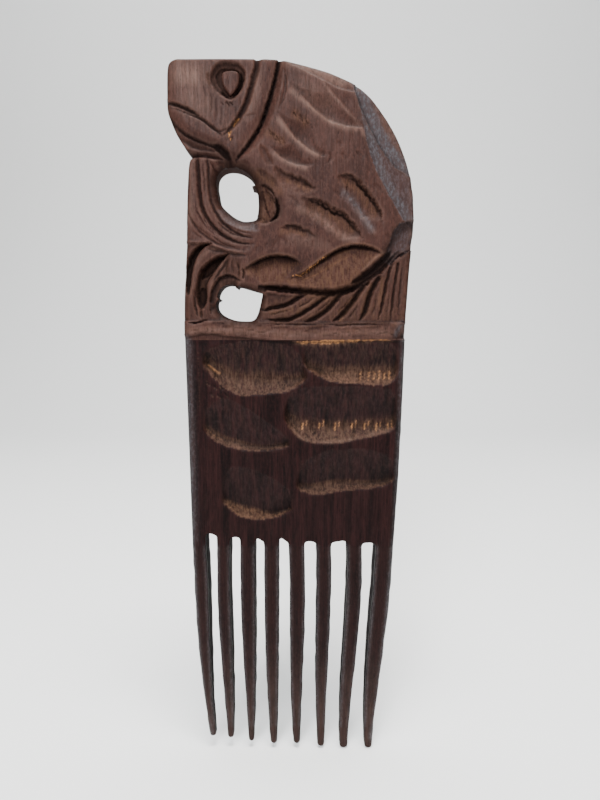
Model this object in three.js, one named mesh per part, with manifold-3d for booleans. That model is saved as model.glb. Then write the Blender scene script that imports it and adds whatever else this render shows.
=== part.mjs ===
// Decorative hair comb carved from one board of dark hardwood: eight tapered teeth below a gouged panel and
// a raised ledge, and above them a fish in relief that bends over two pierced holes.
//
// Millimetres, +Z up. The comb stands on its tooth tips at z = 0. The carved face looks along -Y, the flat
// back along +Y, and X runs across the teeth. The origin is under the middle of the comb.
//
// The board is one piece of wood. It is modelled as named zones that meet face to face along its carved
// borders, so that each zone is a plain solid: the outline gives the board, the seams divide it, and gouges
// and grooves are cut into the face.
import * as THREE from 'three';
import { mergeVertices } from 'three/addons/utils/BufferGeometryUtils.js';
import Module from 'manifold-3d';

// ---- driving dimensions ----
const LENGTH = 200;
const HALF_WIDTH = 33.1;
const THICKNESS = 9;
const FACE = -THICKNESS / 2;
const BACK = THICKNESS / 2;

const EDGE_ROUND = 1.3;
const EDGE_ROUND_STEPS = 2;
const CURVE_STEPS = 6;
const SEAM_STEPS = 8;

// Heights of the horizontal borders, from the teeth up.
const ROOT = 66;
const LEDGE_LOW = 126;
const LEDGE_TOP = 131.5;
const BACK_OF_FISH = 158;

// The comb's side edges, which lean in towards the teeth.
const LEFT_AT_LEDGE = -30.3;
const LEFT_AT_ROOT = -29.5;
const RIGHT_AT_LEDGE = 31.3;
const RIGHT_AT_ROOT = 29.7;

// How far each zone's face lies below the board's face.
const PANEL_RECESS = 1;
const TAIL_RECESS = 0.5;
const REED_RECESS = 0.7;
const WAVE_RECESS = 0.9;
const EYE_POCKET = 1.2;
const EYE_RECESS = 0.2;
const EYE_ROUND = 0.4;

// Past the board on every side, where the seams and cutters may end.
const CLEAR = 6;
const OUT_LEFT = -HALF_WIDTH - CLEAR;
const OUT_RIGHT = HALF_WIDTH + CLEAR;
const OUT_TOP = LENGTH + CLEAR;

// Points where three zones meet, or where a seam ends inside a hole.
const JAW_CORNER = [-20.5, 174.8];
const UPPER_HOLE = [-15.5, 166];
const TAIL_ROOT = [-13, 149.5];
const LOWER_HOLE = [-14, 136];

// The eight teeth, left to right: their middle at the root, halfway down, near the tip and at the tip, the
// width at the root and at the tip, and how far the tip stops above the longest tooth's.
const TEETH = [
  { root: -27.45, half: -26.9, low: -26.3, tip: -24.8, width: 4.1, tipWidth: 1.6, lift: 4 },
  { root: -20.2, half: -20.0, low: -19.5, tip: -19.2, width: 3.8, tipWidth: 1.9, lift: 3.4 },
  { root: -13.15, half: -13.1, low: -12.9, tip: -12.8, width: 4.3, tipWidth: 1.6, lift: 2.3 },
  { root: -6.15, half: -6.2, low: -6.1, tip: -5.9, width: 4.3, tipWidth: 2.1, lift: 1.5 },
  { root: 1.15, half: 1.3, low: 1.1, tip: 1.2, width: 4.6, tipWidth: 2.1, lift: 1.5 },
  { root: 9.15, half: 8.9, low: 8.6, tip: 8.7, width: 4.3, tipWidth: 2.2, lift: 0.5 },
  { root: 18.15, half: 17.2, low: 16.1, tip: 15.7, width: 4.3, tipWidth: 2.5, lift: 0 },
  { root: 27.05, half: 25.3, low: 24.1, tip: 23.5, width: 5.3, tipWidth: 2.3, lift: 0 },
];
const TOOTH_TIP_DEPTH = 3.2;
const TOOTH_SIDES = 16;
const TOOTH_RINGS = [0, 0.012, 0.035, 0.09, 0.18, 0.3, 0.45, 0.62, 0.8, 1];

// The seven slots' rounded upper ends, left to right: one between each pair of teeth.
const SLOT_TOPS = [69.7, 68.6, 68.1, 67.9, 67.3, 67.6, 66.9];

const FISH_BROWN = 0x6f554c;
const LEDGE_BROWN = 0x66504a;
const WAVE_BROWN = 0x5c463d;
const PANEL_BROWN = 0x34241f;
const TOOTH_BROWN = 0x382823;
const WOOD_ROUGHNESS = 0.5;

const wasm = await Module();
wasm.setup();

// ---- solids ----
function toSolid(geometry) {
  const bare = new THREE.BufferGeometry();
  bare.setAttribute('position', geometry.getAttribute('position'));
  bare.setIndex(geometry.index);
  const merged = mergeVertices(bare);
  return new wasm.Manifold(new wasm.Mesh({
    numProp: 3,
    vertProperties: new Float32Array(merged.getAttribute('position').array),
    triVerts: new Uint32Array(merged.index.array),
  }));
}

function toGeometry(solid) {
  const { vertProperties, triVerts } = solid.getMesh();
  const geometry = new THREE.BufferGeometry();
  geometry.setAttribute('position', new THREE.BufferAttribute(vertProperties, 3));
  geometry.setIndex(new THREE.BufferAttribute(triVerts, 1));
  geometry.computeVertexNormals();
  return geometry;
}

// A front-view shape, drawn in X and Z, as a slab of wood between two depths.
function slab(shape, front, back, round = 0) {
  const geometry = new THREE.ExtrudeGeometry(shape, {
    depth: back - front - 2 * round,
    bevelEnabled: round > 0,
    bevelThickness: round,
    bevelSize: round,
    bevelOffset: -round,
    bevelSegments: EDGE_ROUND_STEPS,
    curveSegments: CURVE_STEPS,
  });
  geometry.rotateX(Math.PI / 2);
  geometry.translate(0, back - round, 0);
  return toSolid(geometry);
}

function points2(list) {
  return list.map(([x, z]) => new THREE.Vector2(x, z));
}

function smooth(list) {
  return new THREE.SplineCurve(points2(list)).getPoints(SEAM_STEPS);
}

// A hole's smooth outline. It runs the other way round from the board's outline, as a hole has to.
function holeLoop(list, steps) {
  const flat = list.map(([x, z]) => new THREE.Vector3(x, z, 0));
  const loop = new THREE.CatmullRomCurve3(flat, true).getPoints(steps);
  loop.pop();
  return loop.map((p) => new THREE.Vector2(p.x, p.y)).reverse();
}

function zonePrism(outline, front) {
  return slab(new THREE.Shape(outline), front, BACK);
}

function cutAll(solid, cutters) {
  return cutters.reduce((left, cutter) => left.subtract(cutter), solid);
}

// ---- cutters ----

// A scoop left by a round gouge: length along its tilt, width across it, and depth below the given face.
function gouge({ at: [x, z], length, width, depth, tilt = 0, face = FACE }) {
  const reach = 2.5;
  const spread = 1 / Math.sqrt(1 - (1 - 1 / reach) ** 2);
  const geometry = new THREE.SphereGeometry(1, 20, 12);
  geometry.rotateX(Math.PI / 2);
  geometry.scale(length / 2 * spread, depth * reach, width / 2 * spread);
  geometry.rotateY(-THREE.MathUtils.degToRad(tilt));
  geometry.translate(x, face + depth - depth * reach, z);
  return toSolid(geometry);
}

// A round-bottomed groove along a line of points, which runs out to the surface at both ends.
function groove({ line, width, depth, face = FACE, steps = 10 }) {
  const radius = (width * width / 4 + depth * depth) / (2 * depth);
  const bed = face + depth - radius;
  const clear = face - radius * 1.05;
  const path = line.map(([x, z], i) => {
    const isEnd = i === 0 || i === line.length - 1;
    return new THREE.Vector3(x, isEnd ? clear : bed, z);
  });
  const section = new THREE.Shape(new THREE.EllipseCurve(0, 0, radius, radius).getPoints(8).slice(0, -1));
  const geometry = new THREE.ExtrudeGeometry(section, {
    steps,
    bevelEnabled: false,
    extrudePath: new THREE.CatmullRomCurve3(path),
  });
  return toSolid(geometry);
}

// A flat facet pared off outside a straight line, sloping away from the face to the line's left.
function facet({ from, to, slope }) {
  const run = new THREE.Vector2(to[0] - from[0], to[1] - from[1]);
  const reach = 20;
  const geometry = new THREE.BoxGeometry(run.length(), reach, reach);
  geometry.translate(run.length() / 2, -reach / 2, reach / 2);
  geometry.rotateX(-THREE.MathUtils.degToRad(slope));
  geometry.rotateY(-run.angle());
  geometry.translate(from[0], FACE, from[1]);
  return toSolid(geometry);
}

// ---- outlines, in X and Z ----
function crestOutline() {
  const noseRound = 2;
  const backStart = 6;
  const backHeight = LENGTH - BACK_OF_FISH - 1;
  const startAngle = Math.acos(backStart / HALF_WIDTH);
  const shape = new THREE.Shape();
  shape.moveTo(LEFT_AT_LEDGE, LEDGE_LOW - CLEAR);
  shape.lineTo(LEFT_AT_LEDGE, LEDGE_TOP);
  shape.quadraticCurveTo(-30.1, 141, -29, 152);
  shape.quadraticCurveTo(-28.9, 165, -27.8, 173.5);
  shape.lineTo(-27.1, 175.4);
  shape.quadraticCurveTo(-31.4, 180, -HALF_WIDTH, 187);
  shape.lineTo(-HALF_WIDTH + 0.3, LENGTH - noseRound);
  shape.quadraticCurveTo(-HALF_WIDTH + 0.4, LENGTH - 0.2, -HALF_WIDTH + noseRound + 0.6, LENGTH - 0.1);
  shape.lineTo(-20, LENGTH);
  shape.lineTo(-3, LENGTH);
  shape.absellipse(0, BACK_OF_FISH, HALF_WIDTH, backHeight, startAngle, 0, true);
  shape.quadraticCurveTo(31.8, 146, RIGHT_AT_LEDGE, LEDGE_TOP);
  shape.lineTo(RIGHT_AT_LEDGE, LEDGE_LOW - CLEAR);
  return shape;
}

function upperHoleOutline() {
  return holeLoop([
    [-20.8, 168.5], [-19, 172], [-15.5, 172.8], [-12, 171.4], [-9.8, 168],
    [-9.2, 163.5], [-9.8, 159.4], [-13, 158.5], [-17, 160.3], [-20.2, 164],
  ], 20);
}

function lowerHoleOutline() {
  return holeLoop([
    [-21.4, 135], [-20.9, 138.8], [-18.4, 141.2], [-13.5, 140.6],
    [-8.4, 139], [-8.4, 136.2], [-9.8, 132.3], [-13, 131.1], [-18.5, 132],
  ], 18);
}

// The seams that divide the crest. Neighbouring zones share them point for point.
const seams = {
  gillFront: smooth([
    [-8.5, OUT_TOP], [-10.3, 196], [-12.6, 188.5], [-16, 182.5], [-19.4, 178.5], JAW_CORNER,
  ]),
  gillRear: smooth([
    [-2.2, OUT_TOP], [-4.2, 194], [-6.8, 186.5], [-10.3, 180], [-14, 175.5], UPPER_HOLE,
  ]),
  chin: points2([[OUT_LEFT, 175.4], [-27.1, 175.4], JAW_CORNER]),
  tailFront: smooth([UPPER_HOLE, [-10.5, 157], [-10.3, 152.5], TAIL_ROOT]),
  tailEdge: smooth([[OUT_LEFT, 152.8], [-29, 152.8], [-23, 152.3], [-18, 150.5], TAIL_ROOT]),
  reedEdge: smooth([TAIL_ROOT, [-14.5, 145], LOWER_HOLE]),
  belly: smooth([
    LOWER_HOLE, [-7.5, 138.9], [0, 138.4], [8, 138.8], [15, 140], [21, 142], [26, 145.5], [31, 150],
    [OUT_RIGHT, 156],
  ]),
};

// Strings seams into one closed border: each seam continues from where the last one ended.
function border(...lines) {
  const loop = [];
  for (const line of lines) {
    for (const point of line) {
      const last = loop[loop.length - 1];
      if (!last || last.distanceTo(point) > 1e-6) {
        loop.push(point);
      }
    }
  }
  if (loop[0].distanceTo(loop[loop.length - 1]) < 1e-6) {
    loop.pop();
  }
  return loop;
}

function backwards(line) {
  return [...line].reverse();
}

// ---- boards ----
function crestBoard() {
  const outline = crestOutline();
  outline.holes.push(new THREE.Path(upperHoleOutline()));
  outline.holes.push(new THREE.Path(lowerHoleOutline()));
  return slab(outline, FACE, BACK, EDGE_ROUND);
}

function panelBoard() {
  const outline = new THREE.Shape(points2([
    [LEFT_AT_LEDGE, LEDGE_TOP], [LEFT_AT_ROOT, ROOT], [LEFT_AT_ROOT, ROOT - CLEAR],
    [RIGHT_AT_ROOT, ROOT - CLEAR], [RIGHT_AT_ROOT, ROOT], [RIGHT_AT_LEDGE, LEDGE_TOP],
  ]));
  return slab(outline, FACE + PANEL_RECESS, BACK, EDGE_ROUND);
}

// ---- zones of the crest ----
const crest = crestBoard();

function gillGrooves() {
  const front = [[-9, 201], [-10.6, 195], [-12.8, 188], [-16, 182.3], [-19.5, 178]];
  const rear = [[-2.4, 203], [-4.3, 194], [-6.9, 186.4], [-10.4, 180], [-15, 174]];
  return [
    groove({ line: front, width: 2.2, depth: 1 }),
    groove({ line: rear, width: 2.8, depth: 1.9 }),
  ];
}

function eyePocket() {
  const geometry = new THREE.CylinderGeometry(3.5, 5.4, EYE_POCKET * 2, 20);
  geometry.scale(1, 1, 1.08);
  geometry.translate(-16.8, FACE, 194.2);
  return toSolid(geometry);
}

function fishHead() {
  const zone = zonePrism(
    border(points2([[OUT_LEFT, OUT_TOP]]), seams.gillFront, backwards(seams.chin)), FACE);
  return cutAll(crest.intersect(zone), [
    ...gillGrooves(),
    eyePocket(),
    groove({ line: [[-35, 189], [-29, 187.2], [-24.5, 185.4], [-19, 180.5]], width: 1.8, depth: 0.9 }),
    groove({ line: [[-34, 185], [-31, 182.2], [-26.5, 179.4], [-19, 177]], width: 2.4, depth: 1 }),
  ]);
}

function fishEye() {
  const shape = new THREE.Shape();
  shape.moveTo(-16.3, 190.7);
  shape.quadraticCurveTo(-13.8, 193, -14, 195.8);
  shape.quadraticCurveTo(-16.2, 198.2, -18.5, 195.8);
  shape.quadraticCurveTo(-18.6, 193, -16.3, 190.7);
  return slab(shape, FACE + EYE_RECESS, FACE + EYE_POCKET, EYE_ROUND);
}

function gillCover() {
  const zone = zonePrism(border(
    seams.gillFront, points2([UPPER_HOLE]), backwards(seams.gillRear)), FACE);
  return cutAll(crest.intersect(zone), gillGrooves());
}

function dorsalFacets() {
  return [
    facet({ from: [-6, 200.8], to: [17.2, 191.3], slope: 24 }),
    facet({ from: [16, 192.6], to: [25.6, 174], slope: 26 }),
    facet({ from: [21.5, 180], to: [30.2, 156.5], slope: 24 }),
  ];
}

function scaleGouges() {
  return [
    { at: [7, 188.2], length: 19, width: 5.5, depth: 0.9, tilt: -38 },
    { at: [13.5, 187.5], length: 15, width: 4, depth: 0.6, tilt: -44 },
    { at: [1.8, 180.8], length: 16, width: 5.5, depth: 0.9, tilt: -40 },
    { at: [-1.2, 175.2], length: 13, width: 4.5, depth: 0.8, tilt: -34 },
    { at: [19, 163.3], length: 19, width: 6.5, depth: 1, tilt: -56 },
    { at: [10.5, 158.6], length: 21, width: 6, depth: 1, tilt: -36 },
    { at: [13.8, 146.2], length: 23, width: 8, depth: 1.6, tilt: 14 },
    { at: [-6.2, 145], length: 15, width: 7, depth: 1.4, tilt: 6 },
    { at: [-6, 163.4], length: 11.5, width: 5.5, depth: 1.5, tilt: -76 },
  ].map(gouge);
}

function bellyGroove() {
  return groove({
    line: [[-20, 143.5], [-7.5, 138.7], [0, 138], [8, 138.4], [15, 139.6], [21, 141.6], [26, 145], [34, 153]],
    width: 2.8, depth: 2, steps: 16,
  });
}

function fishBody() {
  const zone = zonePrism(border(
    seams.gillRear, seams.tailFront, seams.reedEdge, seams.belly, points2([[OUT_RIGHT, OUT_TOP]])), FACE);
  return cutAll(crest.intersect(zone), [
    ...gillGrooves(), ...dorsalFacets(), ...scaleGouges(), bellyGroove(), ...reedGouges(),
  ]);
}

function tailGrooves() {
  return [
    [[-26, 177], [-25.6, 168], [-24.3, 160.5], [-19, 155], [-9, 152]],
    [[-23.6, 176], [-22.9, 166], [-20.6, 159.3], [-15, 155.4], [-7, 155]],
    [[-29.5, 162], [-27.3, 157], [-22.3, 153.4], [-14, 151.2]],
  ].map((line) => groove({ line, width: 1.7, depth: 0.8, face: FACE + TAIL_RECESS }));
}

function fishTail() {
  const zone = zonePrism(border(
    seams.chin, points2([UPPER_HOLE]), seams.tailFront, backwards(seams.tailEdge)), FACE + TAIL_RECESS);
  return cutAll(crest.intersect(zone), [...tailGrooves(), ...reedGouges(), ...gillGrooves()]);
}

function reedGouges() {
  const face = FACE + REED_RECESS;
  return [
    { at: [-26.6, 148.2], length: 12, width: 3.4, depth: 1.6, tilt: 52, face },
    { at: [-22.2, 146.2], length: 10.5, width: 4, depth: 1.6, tilt: 44, face },
    { at: [-25.7, 137.6], length: 12, width: 3, depth: 1.5, tilt: 82, face },
    { at: [-16.4, 146.6], length: 6, width: 3.2, depth: 0.9, tilt: 68, face },
  ].map(gouge);
}

function reeds() {
  const face = FACE + REED_RECESS;
  const stem = [[-29.5, 130], [-28.2, 136], [-26.8, 143], [-24.5, 149]];
  const zone = zonePrism(border(
    seams.tailEdge, seams.reedEdge, points2([[LOWER_HOLE[0], LEDGE_TOP], [OUT_LEFT, LEDGE_TOP]])), face);
  return cutAll(crest.intersect(zone), [
    ...reedGouges(),
    groove({ line: stem, width: 1.2, depth: 0.6, face }),
  ]);
}

function waveGrooves() {
  const face = FACE + WAVE_RECESS;
  return [
    [[-9, 132.5], [-4, 134.3], [1, 136.4], [6, 139.5]],
    [[-4, 130.6], [1, 132.6], [7, 135.5], [12.5, 140]],
    [[3, 129.8], [8, 132.4], [13, 135.7], [18, 141]],
    [[10.5, 129.5], [14.5, 132.5], [18.5, 137], [22.5, 143.5]],
    [[18, 129.5], [21, 133], [23, 138.5], [26, 146.5]],
    [[24.5, 129.5], [25.6, 135], [26.2, 141], [28.5, 149]],
    [[28.6, 129.5], [28.8, 136], [29.2, 143], [30, 150]],
  ].map((line) => groove({ line, width: 2, depth: 1.2, face, steps: 8 }));
}

function waves() {
  const zone = zonePrism(border(
    seams.belly, points2([[OUT_RIGHT, LEDGE_TOP], [LOWER_HOLE[0], LEDGE_TOP]])), FACE + WAVE_RECESS);
  return cutAll(crest.intersect(zone), [bellyGroove(), ...waveGrooves()]);
}

function ledge() {
  const tracedLine = [[-34, 130.6], [-12, 130.2], [10, 129.9], [35, 130.4]];
  const zone = zonePrism(points2([
    [OUT_LEFT, LEDGE_LOW], [OUT_RIGHT, LEDGE_LOW], [OUT_RIGHT, LEDGE_TOP], [OUT_LEFT, LEDGE_TOP],
  ]), FACE);
  return cutAll(crest.intersect(zone), [
    facet({ from: [OUT_RIGHT, LEDGE_LOW + 1.6], to: [OUT_LEFT, LEDGE_LOW + 1.2], slope: 38 }),
    groove({ line: tracedLine, width: 1.4, depth: 0.4 }),
  ]);
}

// ---- panel and teeth ----
function slotEdges(index) {
  const left = TEETH[index];
  const right = TEETH[index + 1];
  return [left.root + left.width / 2, right.root - right.width / 2];
}

function slotNotch(top, index) {
  const [left, right] = slotEdges(index);
  const radius = (right - left) / 2;
  const shape = new THREE.Shape();
  shape.moveTo(left, ROOT - CLEAR);
  shape.lineTo(right, ROOT - CLEAR);
  shape.lineTo(right, top - radius * 0.6);
  shape.absellipse(left + radius, top - radius * 0.6, radius, radius * 0.6, 0, Math.PI, false);
  return slab(shape, FACE - CLEAR, BACK + CLEAR);
}

function panelGouges() {
  const face = FACE + PANEL_RECESS;
  return [
    { at: [-10.5, 118.2], length: 28, width: 15.6, depth: 1.6, tilt: -4, face },
    { at: [17, 119.6], length: 26, width: 12.6, depth: 1.5, tilt: -2, face },
    { at: [-11.5, 101.6], length: 26, width: 13.6, depth: 1.4, tilt: -12, face },
    { at: [14, 104.3], length: 31, width: 15.6, depth: 1.8, tilt: 3, face },
    { at: [-10.6, 81.8], length: 22, width: 14, depth: 1.4, tilt: -20, face },
    { at: [16, 88.3], length: 27, width: 13.6, depth: 1.5, tilt: 2, face },
  ].map(gouge);
}

function panel() {
  const zone = zonePrism(points2([
    [OUT_LEFT, ROOT], [OUT_RIGHT, ROOT], [OUT_RIGHT, LEDGE_LOW], [OUT_LEFT, LEDGE_LOW],
  ]), FACE);
  return cutAll(panelBoard().intersect(zone), [...panelGouges(), ...SLOT_TOPS.map(slotNotch)]);
}

// A tooth's section is a rounded rectangle that thins and turns to an oval towards the tip. It is worked
// out ring by ring on a cylinder, from the tip (0) to the root (1).
function toothSection(design, share) {
  const taper = Math.sin(Math.min(share / 0.8, 1) * Math.PI / 2);
  const rounding = Math.min(share / 0.03, 1);
  const end = 0.35 + 0.65 * Math.sqrt(1 - (1 - rounding) ** 2);
  const depth = THICKNESS - PANEL_RECESS;
  return {
    halfWidth: (design.tipWidth + (design.width - design.tipWidth) * taper) / 2 * end,
    halfDepth: (TOOTH_TIP_DEPTH + (depth - TOOTH_TIP_DEPTH) * taper) / 2 * end,
    squareness: 2 + 6 * share,
  };
}

// Where a tooth's middle runs between its tip and its root: a smooth line through the design's four stops.
function toothMiddle(design, share) {
  const stops = [0, 0.25, 0.5, 1];
  const places = [design.tip, design.low, design.half, design.root];
  const last = stops.length - 2;
  const part = Math.min(stops.findLastIndex((stop) => stop <= share), last);
  const inside = (share - stops[part]) / (stops[part + 1] - stops[part]);
  const line = new THREE.SplineCurve(places.map((x, i) => new THREE.Vector2(x, stops[i])));
  return line.getPoint((part + inside) / (last + 1)).x;
}

function superellipse(value, squareness) {
  return Math.abs(value) < 1e-9 ? 0 : Math.sign(value) * Math.abs(value) ** (2 / squareness);
}

function tooth(design) {
  const rows = TOOTH_RINGS.length - 1;
  const geometry = new THREE.CylinderGeometry(1, 1, rows, TOOTH_SIDES, rows);
  const position = geometry.getAttribute('position');
  const middleDepth = (FACE + PANEL_RECESS + BACK) / 2;
  for (let i = 0; i < position.count; i += 1) {
    const share = TOOTH_RINGS[Math.round(position.getY(i) + rows / 2)];
    const section = toothSection(design, share);
    const across = superellipse(position.getX(i), section.squareness);
    const deep = superellipse(position.getZ(i), section.squareness);
    position.setXYZ(
      i,
      toothMiddle(design, share) + across * section.halfWidth,
      middleDepth - deep * section.halfDepth,
      design.lift + (ROOT - design.lift) * share,
    );
  }
  return toSolid(geometry);
}

// ---- assembly ----
function wood(name, solid, colour) {
  const material = new THREE.MeshStandardMaterial({ color: colour, roughness: WOOD_ROUGHNESS, metalness: 0 });
  const mesh = new THREE.Mesh(toGeometry(solid), material);
  mesh.name = name;
  return mesh;
}

const comb = new THREE.Group();
comb.add(wood('fish_head', fishHead(), FISH_BROWN));
comb.add(wood('fish_eye', fishEye(), FISH_BROWN));
comb.add(wood('gill_cover', gillCover(), FISH_BROWN));
comb.add(wood('fish_body', fishBody(), FISH_BROWN));
comb.add(wood('fish_tail', fishTail(), FISH_BROWN));
comb.add(wood('reeds', reeds(), WAVE_BROWN));
comb.add(wood('waves', waves(), WAVE_BROWN));
comb.add(wood('ledge', ledge(), LEDGE_BROWN));
comb.add(wood('panel', panel(), PANEL_BROWN));
TEETH.forEach((design, i) => comb.add(wood(`tooth_${i + 1}`, tooth(design), TOOTH_BROWN)));

export default comb;
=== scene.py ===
"""Looks for the carved hair comb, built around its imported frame.

The comb is one carved board. Its front and back are heights over a net of triangles that follows the
outline, the holes and the borders between zones. The net is then parted at those borders, so each zone is a
closed piece of its own that meets its neighbours exactly.

All design sizes are in comb millimetres: x across from the middle, z up from the tooth tips, and depth into
the board from its carved face.
"""

from collections import namedtuple
from functools import lru_cache
import math

import bpy
import numpy as np
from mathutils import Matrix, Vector, kdtree
from mathutils.geometry import delaunay_2d_cdt


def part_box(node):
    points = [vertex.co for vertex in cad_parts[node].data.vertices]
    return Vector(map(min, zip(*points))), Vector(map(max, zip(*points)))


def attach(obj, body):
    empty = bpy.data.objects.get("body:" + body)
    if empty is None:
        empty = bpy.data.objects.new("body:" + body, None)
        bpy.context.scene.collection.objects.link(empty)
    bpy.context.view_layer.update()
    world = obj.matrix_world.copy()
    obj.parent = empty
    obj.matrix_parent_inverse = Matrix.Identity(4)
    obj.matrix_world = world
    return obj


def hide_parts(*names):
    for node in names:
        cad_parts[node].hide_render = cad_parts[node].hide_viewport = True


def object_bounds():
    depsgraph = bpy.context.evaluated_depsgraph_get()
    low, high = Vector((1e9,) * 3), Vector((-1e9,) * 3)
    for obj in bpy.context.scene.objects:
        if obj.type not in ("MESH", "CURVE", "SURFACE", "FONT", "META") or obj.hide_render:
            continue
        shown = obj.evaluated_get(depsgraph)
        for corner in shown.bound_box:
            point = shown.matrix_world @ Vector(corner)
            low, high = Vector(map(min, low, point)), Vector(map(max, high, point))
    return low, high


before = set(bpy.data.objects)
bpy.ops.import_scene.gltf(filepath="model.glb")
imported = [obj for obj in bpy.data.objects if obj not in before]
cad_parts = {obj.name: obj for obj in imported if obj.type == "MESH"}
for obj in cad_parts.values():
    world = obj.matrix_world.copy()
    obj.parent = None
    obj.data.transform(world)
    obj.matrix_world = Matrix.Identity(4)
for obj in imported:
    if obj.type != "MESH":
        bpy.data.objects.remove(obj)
FRAME_LOW, FRAME_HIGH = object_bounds()

LENGTH = 200.0
MM = (FRAME_HIGH.z - FRAME_LOW.z) / LENGTH
MIDDLE = (FRAME_LOW.x + FRAME_HIGH.x) / 2
THICK = (FRAME_HIGH.y - FRAME_LOW.y) / MM
ROOT = (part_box("panel")[0].z - FRAME_LOW.z) / MM
LEDGE_LOW = (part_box("ledge")[0].z - FRAME_LOW.z) / MM
LEDGE_TOP = (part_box("ledge")[1].z - FRAME_LOW.z) / MM

# ---- spacing of the net ----
CREST_STEP = 0.34
PANEL_STEP = 0.46
TOOTH_STEP = 0.5
BACK_STEP = 0.55
SEAM_GAP = 0.16
RINGS = (0.07, 0.2, 0.42, 0.75, 1.2)
WALL_ROWS = 4
ACROSS = (-34, 34)

# How far the panel lies below the ledge, and how thick a tooth's tip and the eye are.
PANEL_LEVEL = 1.0
TIP_THICK = 3.2
EYE_THICK = 1.5
# How round a tooth's tip is, how dark the outer walls are painted as shade, and how far the back's two
# colours blend.
TIP_RADIUS = 0.95
OUTER_SHELTER = 0.3
BLEND_REACH = 26

# Each tooth's middle at its root, halfway, low down and at its tip, its width at its root and tip, and how
# far its tip is lifted, left to right.
Tooth = namedtuple("Tooth", "root half low tip width tip_width lift")
TEETH = [Tooth(*sizes) for sizes in (
    (-27.4, -26.6, -25.9, -24.6, 4.1, 1.7, 4.0),
    (-20.2, -20.0, -19.5, -19.2, 3.8, 1.9, 3.4),
    (-13.15, -13.1, -12.9, -12.8, 4.3, 1.7, 2.3),
    (-6.15, -6.2, -6.1, -5.9, 4.3, 2.1, 1.5),
    (1.15, 1.3, 1.1, 1.2, 4.6, 2.1, 1.5),
    (9.15, 8.9, 8.6, 8.7, 4.3, 2.2, 0.5),
    (18.15, 17.2, 16.1, 15.7, 4.3, 2.5, 0.0),
    (27.05, 24.9, 23.7, 23.3, 5.3, 2.2, 0.0),
)]
# Each slot's rounded end: height at its left and right corner.
SLOTS = (
    (69.7, 69.4), (68.5, 68.6), (68.2, 67.6), (68.3, 67.4), (67.3, 67.2), (67.1, 67.5), (66.9, 66.8),
)


# ---- curves and noise ----
def spline(points, step, closed=False):
    """A smooth line through the points, sampled about every step."""
    p = np.asarray(points, float)
    if closed:
        ext = np.vstack([p[-1:], p, p[:2]])
    else:
        ext = np.vstack([2 * p[0] - p[1], p, 2 * p[-1] - p[-2]])
    out = []
    for a, b, c, d in zip(ext, ext[1:], ext[2:], ext[3:]):
        count = max(1, round(float(np.hypot(*(c - b))) / step))
        t = (np.arange(count) / count)[:, None]
        out.append(0.5 * (2 * b + (c - a) * t + (2 * a - 5 * b + 4 * c - d) * t ** 2
                          + (3 * b - a - 3 * c + d) * t ** 3))
    if not closed:
        out.append(p[-1:])
    return np.vstack(out)


@lru_cache(maxsize=None)
def lattice(seed):
    """A square of random values for noise to read, made once for each seed."""
    return np.random.default_rng(seed).uniform(-1, 1, (256, 256))


def noise(x, z, seed):
    """Smooth noise from -1 to 1 over a unit lattice."""
    table = lattice(seed)
    xi, zi = np.floor(x).astype(int), np.floor(z).astype(int)
    fx, fz = x - xi, z - zi
    fx, fz = fx * fx * (3 - 2 * fx), fz * fz * (3 - 2 * fz)
    a, b = table[xi & 255, zi & 255], table[(xi + 1) & 255, zi & 255]
    c, d = table[xi & 255, (zi + 1) & 255], table[(xi + 1) & 255, (zi + 1) & 255]
    return (a * (1 - fx) + b * fx) * (1 - fz) + (c * (1 - fx) + d * fx) * fz


def smoothstep(t):
    """Rises smoothly from 0 to 1 as t does."""
    t = np.clip(t, 0, 1)
    return t * t * (3 - 2 * t)


def measure(line, x, z):
    """Each place's distance from a line, positive on the line's left, and how far along it lies (0 to 1)."""
    line = np.asarray(line, float)
    run = np.diff(line, axis=0)
    length = np.hypot(run[:, 0], run[:, 1])
    before = np.concatenate([[0], np.cumsum(length)])
    best = np.full(x.shape, 1e12)
    side, share = np.ones(x.shape), np.zeros(x.shape)
    for i, (dx, dz) in enumerate(run):
        px, pz = x - line[i, 0], z - line[i, 1]
        t = np.clip((px * dx + pz * dz) / length[i] ** 2, 0, 1)
        ox, oz = px - t * dx, pz - t * dz
        far = ox * ox + oz * oz
        near = far < best
        best[near] = far[near]
        side[near] = np.where((dx * oz - dz * ox)[near] >= 0, 1, -1)
        share[near] = (before[i] + t[near] * length[i]) / before[-1]
    return np.sqrt(best) * side, share


def inside(loop, x, z):
    """Whether each place lies inside a closed loop."""
    loop = np.asarray(loop, float)
    found = np.zeros(x.shape, bool)
    for (ax, az), (bx, bz) in zip(loop, np.roll(loop, -1, axis=0)):
        if az == bz:
            continue
        crosses = (az > z) != (bz > z)
        found ^= crosses & (x < (bx - ax) * (z - az) / (bz - az) + ax)
    return found


# ---- outlines ----
def tooth_shape(tooth, share):
    """Middle, half width and half thickness of a tooth at a share of its length up from the tip."""
    middles = [tooth.tip, tooth.low, tooth.half, tooth.root]
    middle = np.polyval(np.polyfit([0, 0.25, 0.5, 1], middles, 3), share)
    taper = np.sin(np.clip(share / 0.8, 0, 1) * math.pi / 2)
    thick = TIP_THICK + (THICK - PANEL_LEVEL - TIP_THICK) * taper
    return middle, (tooth.tip_width + (tooth.width - tooth.tip_width) * taper) / 2, thick / 2


def root_edge(tooth, side):
    """Where a tooth's left (-1) or right (1) edge meets the panel."""
    return tooth.root + side * tooth.width / 2


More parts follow.
